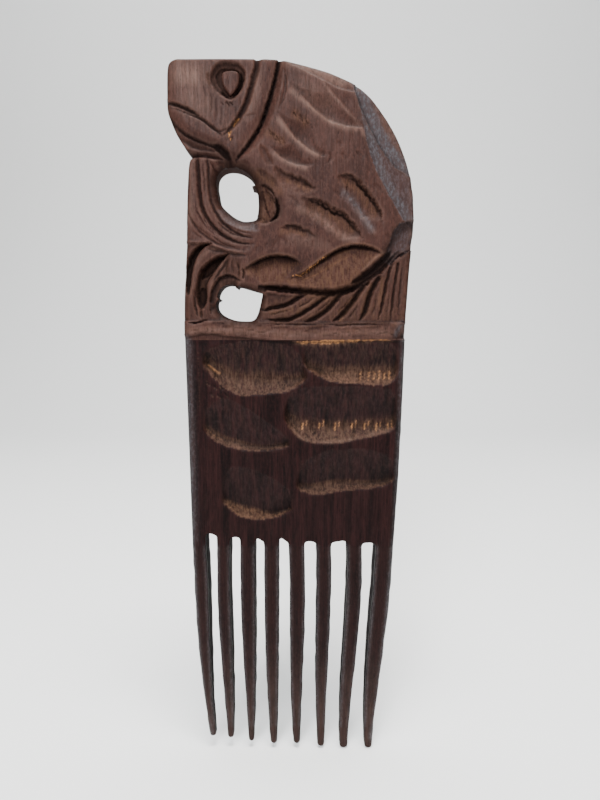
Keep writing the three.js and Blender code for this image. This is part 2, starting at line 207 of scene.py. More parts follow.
def tooth_outline(tooth, seed):
    """Down the tooth's right edge, round its tip and up its left edge, starting and ending at the root."""
    lift, end = tooth.lift, tooth.tip_width / 2
    z = np.linspace(ROOT, lift + end * 1.1, round((ROOT - lift) / 0.55))
    middle, half, _ = tooth_shape(tooth, (z - lift) / (ROOT - lift))
    waver = 0.13 * smoothstep((ROOT - z) / 4)
    right = middle + half + noise(z * 0.33, z * 0 + 3.5, seed) * waver
    left = middle - half + noise(z * 0.33, z * 0 + 9.5, seed) * waver
    angle = np.linspace(0, math.pi, 11)[1:-1]
    centre, reach = (right[-1] + left[-1]) / 2, (right[-1] - left[-1]) / 2
    cap_x = centre + reach * np.cos(angle)
    cap_z = z[-1] - (z[-1] - lift) * np.sin(angle) ** 0.85
    down = np.column_stack([right, z])
    up = np.column_stack([left, z])[::-1]
    return np.vstack([down, np.column_stack([cap_x, cap_z]), up])


def slot_top(right, left, heights, seed):
    """Over a slot's end, from the right tooth's edge to the left tooth's, without the two end points."""
    at_left, at_right = heights
    line = spline([
        (right, ROOT), (right - 0.02, at_right - 1.2), (right - 0.25, at_right - 0.35),
        (right - 0.8, at_right),
        ((left + right) / 2, (at_left + at_right) / 2 + 0.12),
        (left + 0.8, at_left), (left + 0.25, at_left - 0.35), (left + 0.02, at_left - 1.2), (left, ROOT),
    ], 0.3)[1:-1]
    line[:, 1] += 0.07 * noise(line[:, 0] * 2, line[:, 1] * 2, seed)
    return line


def board_outline():
    """Round the whole board, down its left side last: each side, then the teeth and slots from the right."""
    left_side = spline([
        (root_edge(TEETH[0], -1), ROOT), (-29.65, 80), (-29.85, 95), (-30.1, 112), (-30.3, LEDGE_LOW),
        (-30.3, LEDGE_TOP), (-30.05, 139), (-29.5, 146), (-29.05, 152), (-28.75, 160), (-28.4, 167),
        (-27.9, 172.8), (-27.1, 175.4),
    ], CREST_STEP)
    jaw = spline([
        (-27.1, 175.4), (-29.1, 178), (-31, 181), (-32.3, 184), (-33.3, 187.3), (-33.3, 192),
        (-33.1, 197), (-32.5, 199.1), (-30.8, 199.9), (-28, 199.95), (-20, 200), (-10, 199.95),
        (-3.2, 199.9),
    ], CREST_STEP)
    back = spline([
        (-3.2, 199.9), (0, 199.3), (5, 198.2), (10, 196.9), (14, 195.3), (17, 193.8), (20.9, 191.1),
        (24.3, 187.3), (27.4, 182.9), (30, 177.9), (31.8, 172.2), (32.9, 166.2), (33.3, 161), (33.4, 157.5),
        (33.1, 152), (32.6, 146), (32.2, 139), (31.9, LEDGE_TOP), (31.8, LEDGE_LOW), (31.5, 110),
        (30.9, 90), (30.2, 75), (root_edge(TEETH[-1], 1), ROOT),
    ], CREST_STEP)
    waver = 0.07 * noise(back[:, 1] * 0.4, back[:, 0] * 0.4, 5)
    back[:, 0] += waver * smoothstep((back[:, 1] - ROOT) / 3) * smoothstep((195 - back[:, 1]) / 4)
    parts = [left_side[:-1], jaw[:-1], back[:-1]]
    for i in range(len(TEETH) - 1, -1, -1):
        outline = tooth_outline(TEETH[i], 20 + i)
        outline[0] = (root_edge(TEETH[i], 1), ROOT)
        outline[-1] = (root_edge(TEETH[i], -1), ROOT)
        parts.append(outline if i else outline[:-1])
        if i:
            left = root_edge(TEETH[i - 1], 1)
            parts.append(slot_top(outline[-1][0], left, SLOTS[i - 1], 40 + i))
    return np.vstack(parts)


UPPER_HOLE = spline([
    (-20.7, 168.5), (-20.3, 170.7), (-19, 172.1), (-17.2, 172.7), (-15.2, 172.6), (-13.4, 172),
    (-11.6, 170.8), (-10.3, 169.1), (-9.9, 168.1), (-10.9, 167.6), (-9.9, 167.2), (-9.3, 165.6),
    (-9.1, 163.2), (-9.2, 161), (-9.7, 159.2), (-11.2, 158.6), (-13.3, 158.5), (-15.2, 159.2),
    (-17.2, 160.6), (-19, 162.3), (-20, 164), (-20.4, 166.2),
], 0.3, closed=True)
LOWER_HOLE = spline([
    (-21.2, 135), (-21.1, 136.6), (-20.2, 137.2), (-20.9, 138), (-20.1, 139.9), (-18.6, 141.1),
    (-16.8, 141.3), (-15.9, 141), (-15.3, 140.2), (-14.7, 140.8), (-12, 140.1), (-9.6, 139.4),
    (-8.3, 138.9), (-8.5, 137.2), (-9, 135), (-9.7, 132.8), (-10.9, 131.4), (-13.4, 131.2),
    (-16.2, 131.5), (-18.8, 132.4), (-20.5, 133.6),
], 0.3, closed=True)

# Borders between the zones. Each one runs from the outline or a hole, or from where three zones meet.
JAW_CORNER = (-20.5, 174.8)
TAIL_ROOT = (-13, 149.5)
SEAMS = {
    "gill_front": [(-9.2, 200), (-10.3, 196), (-12.6, 188.5), (-16, 182.5), (-19.4, 178.5), JAW_CORNER],
    "gill_rear": [(-3.2, 199.9), (-4.2, 194), (-6.8, 186.5), (-10.3, 180), (-14, 175.5), (-15.2, 172.6)],
    "chin": [(-27.1, 175.4), (-24, 175.3), JAW_CORNER],
    "jaw_corner": [JAW_CORNER, (-18.8, 173.4), (-17.9, 172.5)],
    "tail_front": [(-11.2, 158.6), (-10.4, 156), (-10.5, 152.5), TAIL_ROOT],
    "tail_edge": [(-29.05, 152), (-26, 152.9), (-23, 152.3), (-18, 150.5), TAIL_ROOT],
    "reed_edge": [TAIL_ROOT, (-14.4, 145), (-14.7, 140.8)],
    "belly": [
        (-8.3, 138.9), (-5, 138.8), (0, 138.4), (8, 138.8), (15, 140), (21, 142), (26, 145.5), (30, 149),
        (32.95, 150.9),
    ],
    "ledge_left": [(-30.3, LEDGE_TOP), (-22, LEDGE_TOP), (-16.2, LEDGE_TOP)],
    "ledge_right": [(-10.9, LEDGE_TOP), (0, LEDGE_TOP), (31.9, LEDGE_TOP)],
    "ledge_low": [(-30.3, LEDGE_LOW), (0, LEDGE_LOW), (31.8, LEDGE_LOW)],
}
for number, tooth in enumerate(TEETH, 1):
    SEAMS[f"root_{number}"] = [(root_edge(tooth, -1), ROOT), (root_edge(tooth, 1), ROOT)]

# One place well inside each zone.
ZONES = {
    "fish_head": (-28, 193), "gill_cover": (-9.8, 188), "fish_body": (12, 172), "fish_tail": (-25, 165),
    "reeds": (-25, 140), "waves": (10, 134), "ledge": (0, 129), "panel": (0, 90),
}
for number, tooth in enumerate(TEETH, 1):
    ZONES[f"tooth_{number}"] = (tooth.half, 33)


# ---- the carving ----
# Masks of how the wood looks: raw wood, partly painted lighter as a highlight; torn fibres; painted grey
# reflection; stain, partly painted shade; wear, partly painted highlight.
MASKS = ("raw", "torn", "sheen", "stain", "rub")
# How deep a cut stands at a share of the way from its line to its edge.
PROFILES = {
    "vee": lambda share: 1 - share,
    "round": lambda share: 1 - share * share,
    "fade": lambda share: (1 - share) ** 1.7,
    "soft": lambda share: (1 - share * share) ** 2,
}
CRISP_SCALE = {"shape": ("soft", "round"), "grow": 0.6, "ease": True}
SHELF = ("vee", "round")
SOFT = ("soft", "soft")
FADING = ("vee", "fade")
GOLDEN = 0.618


def scattered(number, start, span, ratio=GOLDEN, shift=0):
    """A place for each number, spread evenly over a span without looking regular."""
    return start + span * ((number * ratio + shift) % 1)


class Carving:
    """How deep the face is cut at each place, and how the wood looks there."""

    def __init__(self, x, z):
        self.x, self.z = x, z
        for key in ("level", "cut", *MASKS):
            setattr(self, key, np.zeros(x.shape))

    def near(self, line, reach):
        """The numbers of the places in a box round a line."""
        low, high = np.min(line, axis=0) - reach, np.max(line, axis=0) + reach
        return np.nonzero((self.x > low[0]) & (self.x < high[0]) & (self.z > low[1]) & (self.z < high[1]))[0]

    def raise_to(self, key, at, values):
        """Lifts one of the maps to at least these values."""
        held = getattr(self, key)
        held[at] = np.maximum(held[at], values)

    def tint(self, key, points, width, amount):
        """Marks the wood along a line, or round a place, fading away over a width."""
        line = np.asarray(points, float)
        at = self.near(line, width * 2.2)
        x, z = self.x[at], self.z[at]
        if len(line) > 1:
            away, _ = measure(spline(line, 0.8), x, z)
        else:
            away = np.hypot(x - line[0, 0], z - line[0, 1])
        self.raise_to(key, at, amount * np.exp(-(away / width) ** 2))

    def terrace(self, loop, level, edge, fade=None):
        """Lowers the face inside a loop to a level, over an edge of that width. Fade gives the x where the
        level starts and the x where it is whole."""
        loop = np.asarray(loop, float)
        at = self.near(loop, 0.1)
        x, z = self.x[at], self.z[at]
        away, _ = measure(np.vstack([loop, loop[:1]]), x, z)
        down = level * smoothstep(np.abs(away) / edge) * inside(loop, x, z)
        if fade:
            down = down * smoothstep((x - fade[0]) / (fade[1] - fade[0]))
        self.raise_to("level", at, down)

    def pit(self, points, deep, edge, stain=0.0, torn=0.0):
        """A hollow inside a rounded loop, with walls of that width and a floor darkened by stain and painted
        shade.
        """
        loop = spline(points, 0.5, closed=True)
        at = self.near(loop, 0.1)
        x, z = self.x[at], self.z[at]
        away, _ = measure(np.vstack([loop, loop[:1]]), x, z)
        share = smoothstep((np.abs(away) + 0.1 * noise(x * 1.7, z * 1.7, 83)) / edge) * inside(loop, x, z)
        for key, amount in (("cut", deep), ("stain", stain), ("torn", torn)):
            self.raise_to(key, at, amount * share)

    def stroke(self, points, left, right, deep, shape=("vee", "vee"), ends=(0.1, 0.1), raw=(0, 0), torn=0,
               wander=0.12, grow=0.35, stain=0.0, ease=False):
        """A tool's cut along a line.

        Left and right are its width on each side, and shape its profile there. It grows from the first end's
        share of its size to the whole of it over a share of its length, and falls to the second's.
        """
        line = spline(points, 0.8)
        at = self.near(line, max(left, right) + 0.5)
        if not len(at):
            return
        x, z = self.x[at], self.z[at]
        away, share = measure(line, x, z)
        away = away + wander * noise(x * 1.3, z * 1.3, len(at) % 997)
        swell = smoothstep if ease else lambda t: 1 - (1 - t) ** 2
        rise = ends[0] + (1 - ends[0]) * swell(np.clip(share / grow, 0, 1))
        fall = ends[1] + (1 - ends[1]) * swell(np.clip((1 - share) / grow, 0, 1))
        size = rise * fall
        on_left = away > 0
        width = np.where(on_left, max(left, 1e-3), max(right, 1e-3)) * size
        out = np.clip(np.abs(away) / np.maximum(width, 1e-4), 0, 1)
        down = np.where(on_left, PROFILES[shape[0]](out), PROFILES[shape[1]](out))
        self.raise_to("cut", at, deep * size * down)
        lit = np.where(on_left, raw[0], raw[1]) * smoothstep(out / 0.45) * (out < 0.999)
        self.raise_to("raw", at, lit)
        self.raise_to("torn", at, torn * (out < 1) * smoothstep((1 - out) / 0.2))
        self.raise_to("stain", at, stain * smoothstep((1 - out) / 0.6) * smoothstep(size / 0.5))

    def facet(self, points, rate, step=0.0, reach=30.0, side=1, straight=True, sheen=0, over=False, edge=0.0,
              band=2.0, within=None):
        """Pares a plane off one side of a line, sloping down away from it, after a small step.

        Over cuts it below what is there already. A painted grey reflection lies along the line over that
        band, with raw wood beyond it, and within is a loop that holds the whole facet.
        """
        line = np.asarray(points, float) if straight else spline(points, 1.0)
        at = self.near(line, reach)
        x, z = self.x[at], self.z[at]
        away, share = measure(line, x, z)
        away = away * side + 0.1 * noise(x * 0.9, z * 0.9, 77)
        on = (away > 0) & (away < reach) & (share > 0) & (share < 1)
        if within:
            on &= inside(within, x, z)
        on = on * smoothstep((1 - share) / 0.1)
        down = on * (step * smoothstep(away / 0.3) + rate * away)
        self.cut[at] = self.cut[at] + down if over else np.maximum(self.cut[at], down)
        beyond = smoothstep((away - band) / 1.2)
        self.sheen[at] = np.maximum(self.sheen[at] * (1 - on * over), sheen * on * (1 - 0.55 * beyond))
        self.raise_to("raw", at, edge * on * beyond)


def carve_mouth(c):
    """The mouth, in two runs, the lip under it and the jaw."""
    c.stroke([(-34.5, 189), (-31, 188.4), (-28.5, 187.5), (-26, 186.3), (-24.4, 185.4)], 0.5, 0.9, 0.9,
             ends=(1, 0.1), stain=0.7)
    c.stroke([(-34.5, 187.9), (-31, 187.3), (-28.2, 186.3), (-26, 185.3)], 0.25, 0.35, 0.4, ends=(1, 0.1),
             stain=0.3)
    c.stroke([(-30.2, 186.5), (-27.5, 185.9), (-25, 184.9), (-23.5, 184), (-21.5, 182.6), (-20, 181.4),
              (-18.2, 180)], 0.9, 0.35, 0.6, shape=("fade", "vee"), stain=0.5)
    # the jaw falls away to the outline, its dark lower band also a painted shadow
    c.stroke([(-35, 186.5), (-31.6, 181.8), (-28.6, 178.8), (-25, 177.2), (-21, 176.6)], 4.6, 2.2, 1.25,
             shape=("fade", "fade"), ends=(1, 0.8), grow=0.15)
    c.stroke([(-34, 186.2), (-31, 182.8), (-28.3, 180.6), (-24.5, 178.9), (-20.3, 177.5)], 1.1, 0.9, 1.6,
             shape=("fade", "fade"), ends=(0.5, 0.9), stain=0.6, grow=0.7)
    c.stroke([(-33.5, 186), (-30.5, 184.2), (-27.6, 182.2)], 0.3, 0.8, 0.3)
    # under the jaw, down to the notch at the chin
    c.stroke([(-34, 175.7), (-27.1, 175.4), (-24, 175.5), (-20.5, 174.9), (-18, 174)], 2.6, 0.9, 1.9,
             ends=(1, 0.5), shape=("fade", "vee"), stain=0.3)


def carve_eye_socket(c):
    """The socket, its deep rim and the small cuts round it."""
    c.pit([(-21.9, 195.3), (-20.9, 197.6), (-19.2, 199.1), (-16.8, 199.3), (-14, 198.8), (-12.2, 197),
           (-12.1, 194.5), (-13.1, 191.9), (-14.8, 190), (-16.3, 189.3), (-18.2, 190), (-20.2, 191.6),
           (-21.6, 193.4)], 0.75, 0.8, stain=0.45, torn=0.35)
    c.pit([(-20.6, 195.2), (-19.8, 197.2), (-18.2, 198), (-15.6, 198), (-13.6, 197), (-12.9, 195.3),
           (-13.6, 192.8), (-15.2, 190.6), (-16.5, 190), (-18.2, 191), (-19.8, 193)], 1.2, 0.6, stain=0.6)
    c.stroke([(-13.6, 196.8), (-13.3, 194.6), (-14, 192.6), (-15.6, 190.3)], 0.9, 0.9, 2.0,
             ends=(0.3, 0.4), stain=1)
    c.stroke([(-18.9, 192.2), (-17.9, 191), (-16.5, 190)], 0.7, 0.7, 1.6, stain=0.8)
    c.stroke([(-22.2, 196.6), (-21.9, 194.5), (-21.2, 192.3)], 0.5, 0.6, 0.4, torn=0.5)
    c.stroke([(-17.8, 189.4), (-16.9, 188.4), (-16.3, 187.6)], 0.3, 0.3, 0.3, stain=0.6)
    c.stroke([(-16.6, 189), (-15.6, 188.1)], 0.3, 0.3, 0.3, stain=0.6)
    c.stroke([(-18.9, 188.9), (-18.1, 188)], 0.25, 0.25, 0.2, stain=0.5)


def carve_cheek(c):
    """Fine cuts down the cheek, the worn snout with its painted highlight, and painted shadow under the jaw.
    """
    for x, low, high, deep in ((-21.5, 186, 191.5, 0.16), (-20.2, 184.2, 190.4, 0.13),
                               (-18.9, 182.6, 188.4, 0.1), (-15, 184.3, 188, 0.12),
                               (-23.2, 186.8, 193.4, 0.07), (-17.4, 183, 186.4, 0.08),
                               (-25.8, 188, 194, 0.05), (-13.8, 188, 190.6, 0.1)):
        c.stroke([(x - 0.2, low), (x + 0.1, (low + high) / 2), (x, high)], 0.3, 0.45, deep, stain=2 * deep)
    # the worn snout, made paler also as a painted highlight
    c.tint("rub", [(-28.5, 196), (-26, 195.6)], 3.4, 1.0)
    c.tint("rub", [(-26.5, 190.5), (-24, 188.4)], 3.6, 0.5)
    c.tint("rub", [(-18, 185.6), (-17, 183)], 2.6, 0.18)
    # painted shadow under the jaw
    c.tint("stain", [(-27, 179.4), (-22.6, 178), (-19, 176.8)], 1.5, 0.6)
    c.facet([(-30.6, 186), (-30.9, 193), (-30.2, 201)], 0.22, 0.0, side=1)


def carve_gill(c):
    """The two grooves, the band between them and the hollow below."""
    front = [(-18.4, 180.6), (-16.3, 182.5), (-14.7, 184.6), (-13.3, 186.6), (-12.2, 188.9),
             (-11.3, 191.5), (-10.4, 194.5), (-9.6, 197), (-9.3, 200.6)]
    rear = [(-15.6, 173.6), (-12.9, 176.9), (-10.7, 179.7), (-8.7, 182.8), (-7.4, 185.7), (-6.2, 189),
            (-5.1, 192.5), (-4.2, 196), (-3.3, 200.5)]
    c.stroke(front, 0.6, 1.3, 1.0, ends=(0.25, 0.9), stain=0.55)
    c.stroke(rear, 0.6, 2.9, 1.6, shape=FADING, ends=(0.4, 0.9))
    c.stroke(rear, 0.55, 0.8, 2.2, shape=FADING, ends=(0.3, 0.7), stain=1, grow=0.5)
    c.stroke(rear, 3.6, 0.1, 0.45, shape=("fade", "vee"), ends=(0.3, 1), wander=0)
    c.stroke([(-3.9, 186.6), (-2.3, 189.5), (-1.5, 193), (-1.9, 197), (-2.6, 200)], 1.6, 0.3, 0.35,
             shape=("fade", "vee"), ends=(0.1, 0.6))
    c.stroke([(-11.2, 194), (-9.3, 197.5), (-8.8, 201)], 0.7, 1.5, 0.85, ends=(0.1, 1), shape=FADING)
    # raw nicks in the front groove
    c.stroke([(-15.7, 182.6), (-14.9, 184.2), (-13.9, 185.1)], 0.35, 0.35, 0.5, raw=(1, 1))
    c.stroke([(-17.1, 180.6), (-16.2, 181.6)], 0.3, 0.3, 0.5, raw=(0.9, 0.9))
    c.stroke([(-16.5, 179), (-15.8, 180.2)], 0.3, 0.3, 0.3, raw=(0.9, 0.9))
    c.tint("raw", [(-15.5, 182.9), (-14.9, 184), (-14.2, 185)], 0.42, 1.0)
    c.tint("raw", [(-16.9, 180), (-16.2, 181.6)], 0.3, 0.95)
    # the hollow where head, gill and tail meet, its floor also darkened as painted shade
    c.stroke([(-21.6, 178), (-19.6, 177.3), (-17.8, 175.8), (-16.4, 173.6)], 1.5, 1.9, 1.6, shape=SOFT,
             ends=(0.3, 0.7), stain=0.85)
    c.stroke([(-20.5, 181), (-18.4, 181.6), (-16.9, 182.4)], 0.3, 0.5, 0.3)
    # long worn lines down the cover
    for dx, low, high, deep in ((-2.6, 0.35, 0.95, 0.12), (-1.7, 0.2, 0.7, 0.09), (-3.4, 0.5, 0.9, 0.08)):
        count = len(rear)
        first = int(low * count)
        last = max(int(high * count), first + 3)
        part = [(x + dx, z + 0.2) for x, z in rear[first:last]]
        c.stroke(part, 0.3, 0.45, deep)
    c.stroke([(-13.6, 184.6), (-12, 185.6), (-10.4, 186), (-8.6, 185.8)], 0.2, 2.2, 0.16,
             shape=("vee", "soft"))


def pare_back(c):
    """The facets pared along the fish's back, with painted grey reflections on them."""
    c.facet([(-6, 200.8), (-2.5, 199.4), (3, 197), (8, 194.5), (12, 192.5), (16.9, 191.3), (20, 191.2)],
            0.26, 0.24)
    c.facet([(15.5, 195), (17.6, 189.4), (18.9, 184.6), (19.7, 180), (20.8, 176.4), (22.4, 172),
             (26, 165.2), (30.4, 158.4), (34, 154.6)], 0.1, 0.25, sheen=0.85, band=1.9)
    c.facet([(16.4, 193.6), (16.9, 191.2), (18.5, 187), (21, 182), (24, 177), (28, 172.4), (35, 168.2)],
            0.2, 0.4, sheen=1, over=True, edge=0.25, band=3.0)
    corner = [(24, 146), (26.4, 151.5), (27.4, 155.2), (29.2, 157.9), (31.4, 158.4), (37, 158.6),
              (37, 151.8), (32.8, 150.6), (29, 148.4), (26, 145.4)]
    c.facet([(24.5, 148), (26.4, 151.5), (27.4, 155.2), (29.2, 157.7), (31.4, 158.2), (36, 158.4)], 0.22,
            0.5, side=-1, sheen=0.5, over=True, band=5, within=corner)
    c.tint("stain", [(25.6, 150.4), (27.4, 152.6), (28.6, 155), (30.4, 156.6), (33, 157)], 1.3, 0.7)
    c.tint("stain", [(17.3, 190.6), (18.8, 186.8), (21.3, 181.8), (24.3, 176.8), (28.3, 172.2),
                     (31.6, 170)], 0.3, 0.5)


def carve_scales(c):
    """Scale cuts: a crisp lit rim at the lower left, fading away to the upper right."""
    c.stroke([(-0.4, 193.6), (2.4, 191.3), (5.4, 188.7), (8.6, 186.2), (11.6, 184.4), (14.6, 183.4),
              (18.4, 182.8)], 6.2, 1.3, 0.78, ends=(0.1, 0.4), **CRISP_SCALE)
    c.stroke([(7.2, 196), (10.2, 192.6), (13.2, 189.6), (16.6, 186), (19.3, 182.4), (20.8, 178.6)], 4,
             0.9, 0.36, ends=(0.1, 0.2), **CRISP_SCALE)
    c.stroke([(-3.8, 186.4), (-1.2, 183.4), (1.2, 180.8), (3.6, 178.5), (5.8, 176.6), (8.4, 175.4)], 5.6,
             1.2, 0.76, ends=(0.1, 0.3), **CRISP_SCALE)
    # painted highlights along the lit rims
    c.tint("rub", [(0, 191.8), (3, 189.4), (6.5, 186.6), (9.5, 184.6), (13, 182.9), (17, 182.2)], 0.8, 1.0)
    c.tint("rub", [(-3.6, 184.6), (-1.2, 181.8), (1.4, 179.2), (4, 177), (7, 175.4)], 0.7, 1.0)
    c.tint("rub", [(-4.6, 175.8), (-2, 174), (1, 172.8), (3.6, 172)], 0.7, 0.9)
    c.tint("rub", [(8, 194.4), (11, 190.6), (14, 187.6), (17, 184.4), (19.4, 180.6)], 0.5, 0.6)
    for x, z, long in ((1.2, 187.2, 2.6), (2.3, 186.4, 3.2), (3.4, 185.4, 3.2), (4.5, 184.2, 2.4),
                       (0.2, 186.6, 1.6), (-6.4, 182.6, 2.2), (-5.2, 181.6, 2.6), (-4.1, 180.9, 2.2),
                       (-2.9, 180.1, 1.8)):
        c.stroke([(x, z), (x + 0.5, z - long * 0.5), (x + 1.3, z - long)], 0.25, 0.4, 0.22, stain=0.25,
                 wander=0.3)
    c.stroke([(-6.2, 178), (-3.4, 175.8), (-0.6, 174.4), (2, 173.2), (4.4, 172.9)], 4.8, 1.1, 0.74,
             ends=(0.1, 0.4), **CRISP_SCALE)
    c.stroke([(4.2, 172.4), (5, 173.4), (4.2, 174.8)], 0.3, 0.5, 0.3)
    c.stroke([(9.4, 173.4), (10.4, 174.6), (10, 176.4)], 0.3, 0.9, 0.22, shape=("vee", "soft"))


def carve_deep_scales(c):
    """Deeper ones: stopped short at a torn upper edge, shelving away at the lower left."""
    c.stroke([(13.2, 170.2), (15.4, 170.5), (17.2, 169.5), (18.8, 167.8), (20.6, 166), (22.2, 163.6),
              (23.8, 161.4), (24.6, 158.6)], 0.45, 5.6, 0.95, shape=SHELF, raw=(0, 0), torn=0.3,
             wander=0.35, grow=0.2, ends=(0.3, 0.2))
    c.stroke([(15.2, 170), (17.2, 169), (18.8, 167.3), (20.6, 165.5), (22.2, 163), (23.6, 160.8)], 0.3,
             0.8, 1.5, shape=SHELF, torn=0.5, wander=0.35, stain=0.8, ends=(0.3, 0.3))
    # painted grey reflection and painted highlight on the upper cut's floor, which faces up
    c.tint("sheen", [(14.2, 165.6), (16.4, 163.4), (18.2, 161), (19.8, 158.6), (21.6, 156.2)], 1.0, 0.8)
    c.tint("rub", [(17.6, 161.4), (19.4, 159), (21.2, 156.8), (22.6, 155.2)], 0.5, 0.7)
    c.stroke([(3.8, 164.5), (6, 163.9), (8.2, 163.2), (10.2, 162), (12.4, 160.9), (14, 160.2),
              (15.6, 158.6), (17.2, 156.8), (19, 154.4)], 0.45, 5.4, 1.0, shape=SHELF, torn=0.3,
             wander=0.35, grow=0.2, ends=(0.3, 0.2))
    c.stroke([(4.4, 164), (6.2, 163.4), (8.2, 162.7), (10.4, 161.4), (12.6, 160.4), (14.2, 159.6),
              (15.8, 158), (17.6, 156)], 0.3, 0.9, 1.6, shape=SHELF, torn=0.5, wander=0.4, stain=0.9,
             ends=(0.3, 0.3))
    # painted highlight along the lower cut's floor
    c.tint("rub", [(2, 161.4), (5.6, 160.2), (8.4, 158.4), (11, 156.2), (13.6, 154.4), (17, 153)], 1.2,
           0.75)
    c.stroke([(-4.8, 172.4), (-1.2, 170.5), (1.4, 169.6), (3.6, 168.6), (6.6, 166.4)], 0.5, 4.2, 0.75,
             shape=("vee", "soft"), torn=0.3, wander=0.35)
    c.stroke([(-1.4, 170.4), (1.2, 169.5), (3.6, 168.4), (6, 166.9)], 0.3, 0.7, 0.9, torn=0.5, wander=0.4,
             stain=0.6)
    c.stroke([(-3.5, 156.4), (0, 157), (2.6, 156.4), (4.6, 155.6), (6.8, 154)], 0.4, 3.6, 0.6,
             shape=("vee", "soft"), torn=0.3, wander=0.35)
    c.stroke([(-2.6, 156.6), (0, 156.9), (2.4, 156.2), (4.4, 155.3)], 0.3, 0.6, 0.75, torn=0.5,
             wander=0.4, stain=0.6)
    c.stroke([(-8.6, 178.4), (-6.6, 175), (-4.8, 172.6)], 1.2, 1.6, 0.4, shape=SOFT, torn=0.3)
    c.stroke([(-10, 171.6), (-7.5, 170.4), (-5, 168.6), (-3, 166.6)], 1.4, 1.2, 0.3, shape=SOFT, torn=0.5)
    # torn fibres hang from the upper edges of the cuts
    torn_edges = (
        ([(14.4, 168.8), (16.6, 167.6), (18.6, 165.6), (20.6, 163), (22.2, 160.4)], 1.3),
        ([(5, 162.6), (8, 161.2), (11, 159.6), (13.6, 158.2), (16, 155.8)], 1.4),
        ([(-1.6, 169.2), (1.4, 168), (4.4, 166.6)], 1.0),
        ([(-2.6, 155.6), (0.4, 155.8), (3.4, 154.8)], 0.9),
        ([(0.6, 186.2), (3.6, 183.8)], 1.2), ([(-6, 181.4), (-2.8, 179)], 1.2),
        ([(-9.6, 170.6), (-6, 168.6), (-3.6, 166)], 1.2),
        ([(-12, 145), (-7, 146.8), (-1, 146.8)], 1.2),
    )
    for edge, width in torn_edges:
        c.tint("torn", edge, width, 0.95)
        c.tint("raw", [(x + 0.2, z - 0.3) for x, z in edge], width * 0.7, 0.3)


def wear_body(c):
    """Where handling has worn it pale, with painted highlights on lit crests, the plain dark places with
    painted shade under the gill, and small marks of the blade.
    """
    # pale along the gill band's crest: painted highlight
    c.tint("rub", [(-9, 196), (-9.6, 190), (-12, 185.6)], 1.3, 0.45)
    c.tint("rub", [(0, 199), (6, 197), (13, 194.2)], 1.5, 0.8)
    c.tint("rub", [(2.6, 193), (9, 189.6)], 3.2, 0.32)
    c.tint("rub", [(0, 153.4), (4, 152.6), (9, 151.6)], 1.8, 0.3)
    c.tint("rub", [(-6, 168.8), (-2, 166.6), (2, 163.4)], 2.4, 0.22)
    # painted shadow under the gill above the upper hole, and painted shade beside the recess
    c.tint("stain", [(-16, 174.6), (-12, 172.6), (-9, 170.4), (-6, 168.4)], 2.0, 0.45)
    c.tint("stain", [(-5, 158), (-3, 160.8), (-3.2, 164)], 1.0, 0.5)
    for x, z, run in ((9, 153.4, 3), (13, 176, 2), (17, 176.5, 2.4), (12, 179, 1.6), (-1, 165, 3),
                      (3, 160, 2.6), (-4, 154.4, 3), (22, 168, 2.4), (11, 166.4, 2.4), (25, 155, 2)):
        c.stroke([(x, z), (x + run * 0.6, z - run * 0.4), (x + run, z - run)], 0.9, 0.5, 0.13,
                 shape=("soft", "round"))


def carve_recess(c):
    """The rough recess beside the upper hole."""
    c.pit([(-11.5, 169.6), (-8.8, 168.7), (-6.8, 167.6), (-5.2, 166), (-4, 163.8), (-3.4, 161.4),
           (-3.9, 159.2), (-5.4, 157.9), (-7.6, 157.2), (-9.4, 157.6), (-12, 160), (-12, 166)], 0.9, 0.9,
          stain=0.2, torn=0.9)
    c.stroke([(-7.9, 167), (-7.4, 163.5), (-6.7, 160.6), (-5.6, 158.9)], 0.5, 0.4, 1.3, torn=0.8, stain=0.8)
    for x, low, high in ((-9.3, 158.2, 161.4), (-8.2, 158, 160.6), (-7.2, 164.6, 167.4),
                         (-6.4, 163, 166.4), (-8.8, 163.4, 166.8), (-5.4, 162.4, 165.2),
                         (-7.8, 160.6, 163.6), (-5.2, 159.4, 161.6)):
        c.stroke([(x, high), (x + 0.4, (low + high) / 2), (x + 1, low)], 0.25, 0.3, 1.25, torn=1,
                 stain=0.55)
    c.tint("rub", [(-6, 166), (-4.8, 163.6), (-4.5, 161.2)], 0.35, 0.5)
    c.tint("raw", [(-7.2, 165.4), (-6.8, 163), (-6.4, 161.4)], 0.5, 0.5)
    c.stroke([(-4.3, 164.4), (-3.7, 161.5), (-4.3, 159.3), (-5.9, 158.2)], 0.5, 1.0, 2.0, ends=(0.3, 0.5),
             stain=1)
    c.tint("stain", [(-9.8, 167), (-9, 163), (-8.6, 159)], 0.8, 0.4)
    c.stroke([(-9.1, 165.8), (-8.6, 162), (-7.8, 158.8)], 0.4, 0.4, 1.2, torn=0.8, stain=0.4)
    c.stroke([(-10, 168.4), (-7.6, 167.6), (-5.4, 166.2), (-4.2, 164.4)], 0.3, 0.6, 1.2, stain=0.6)


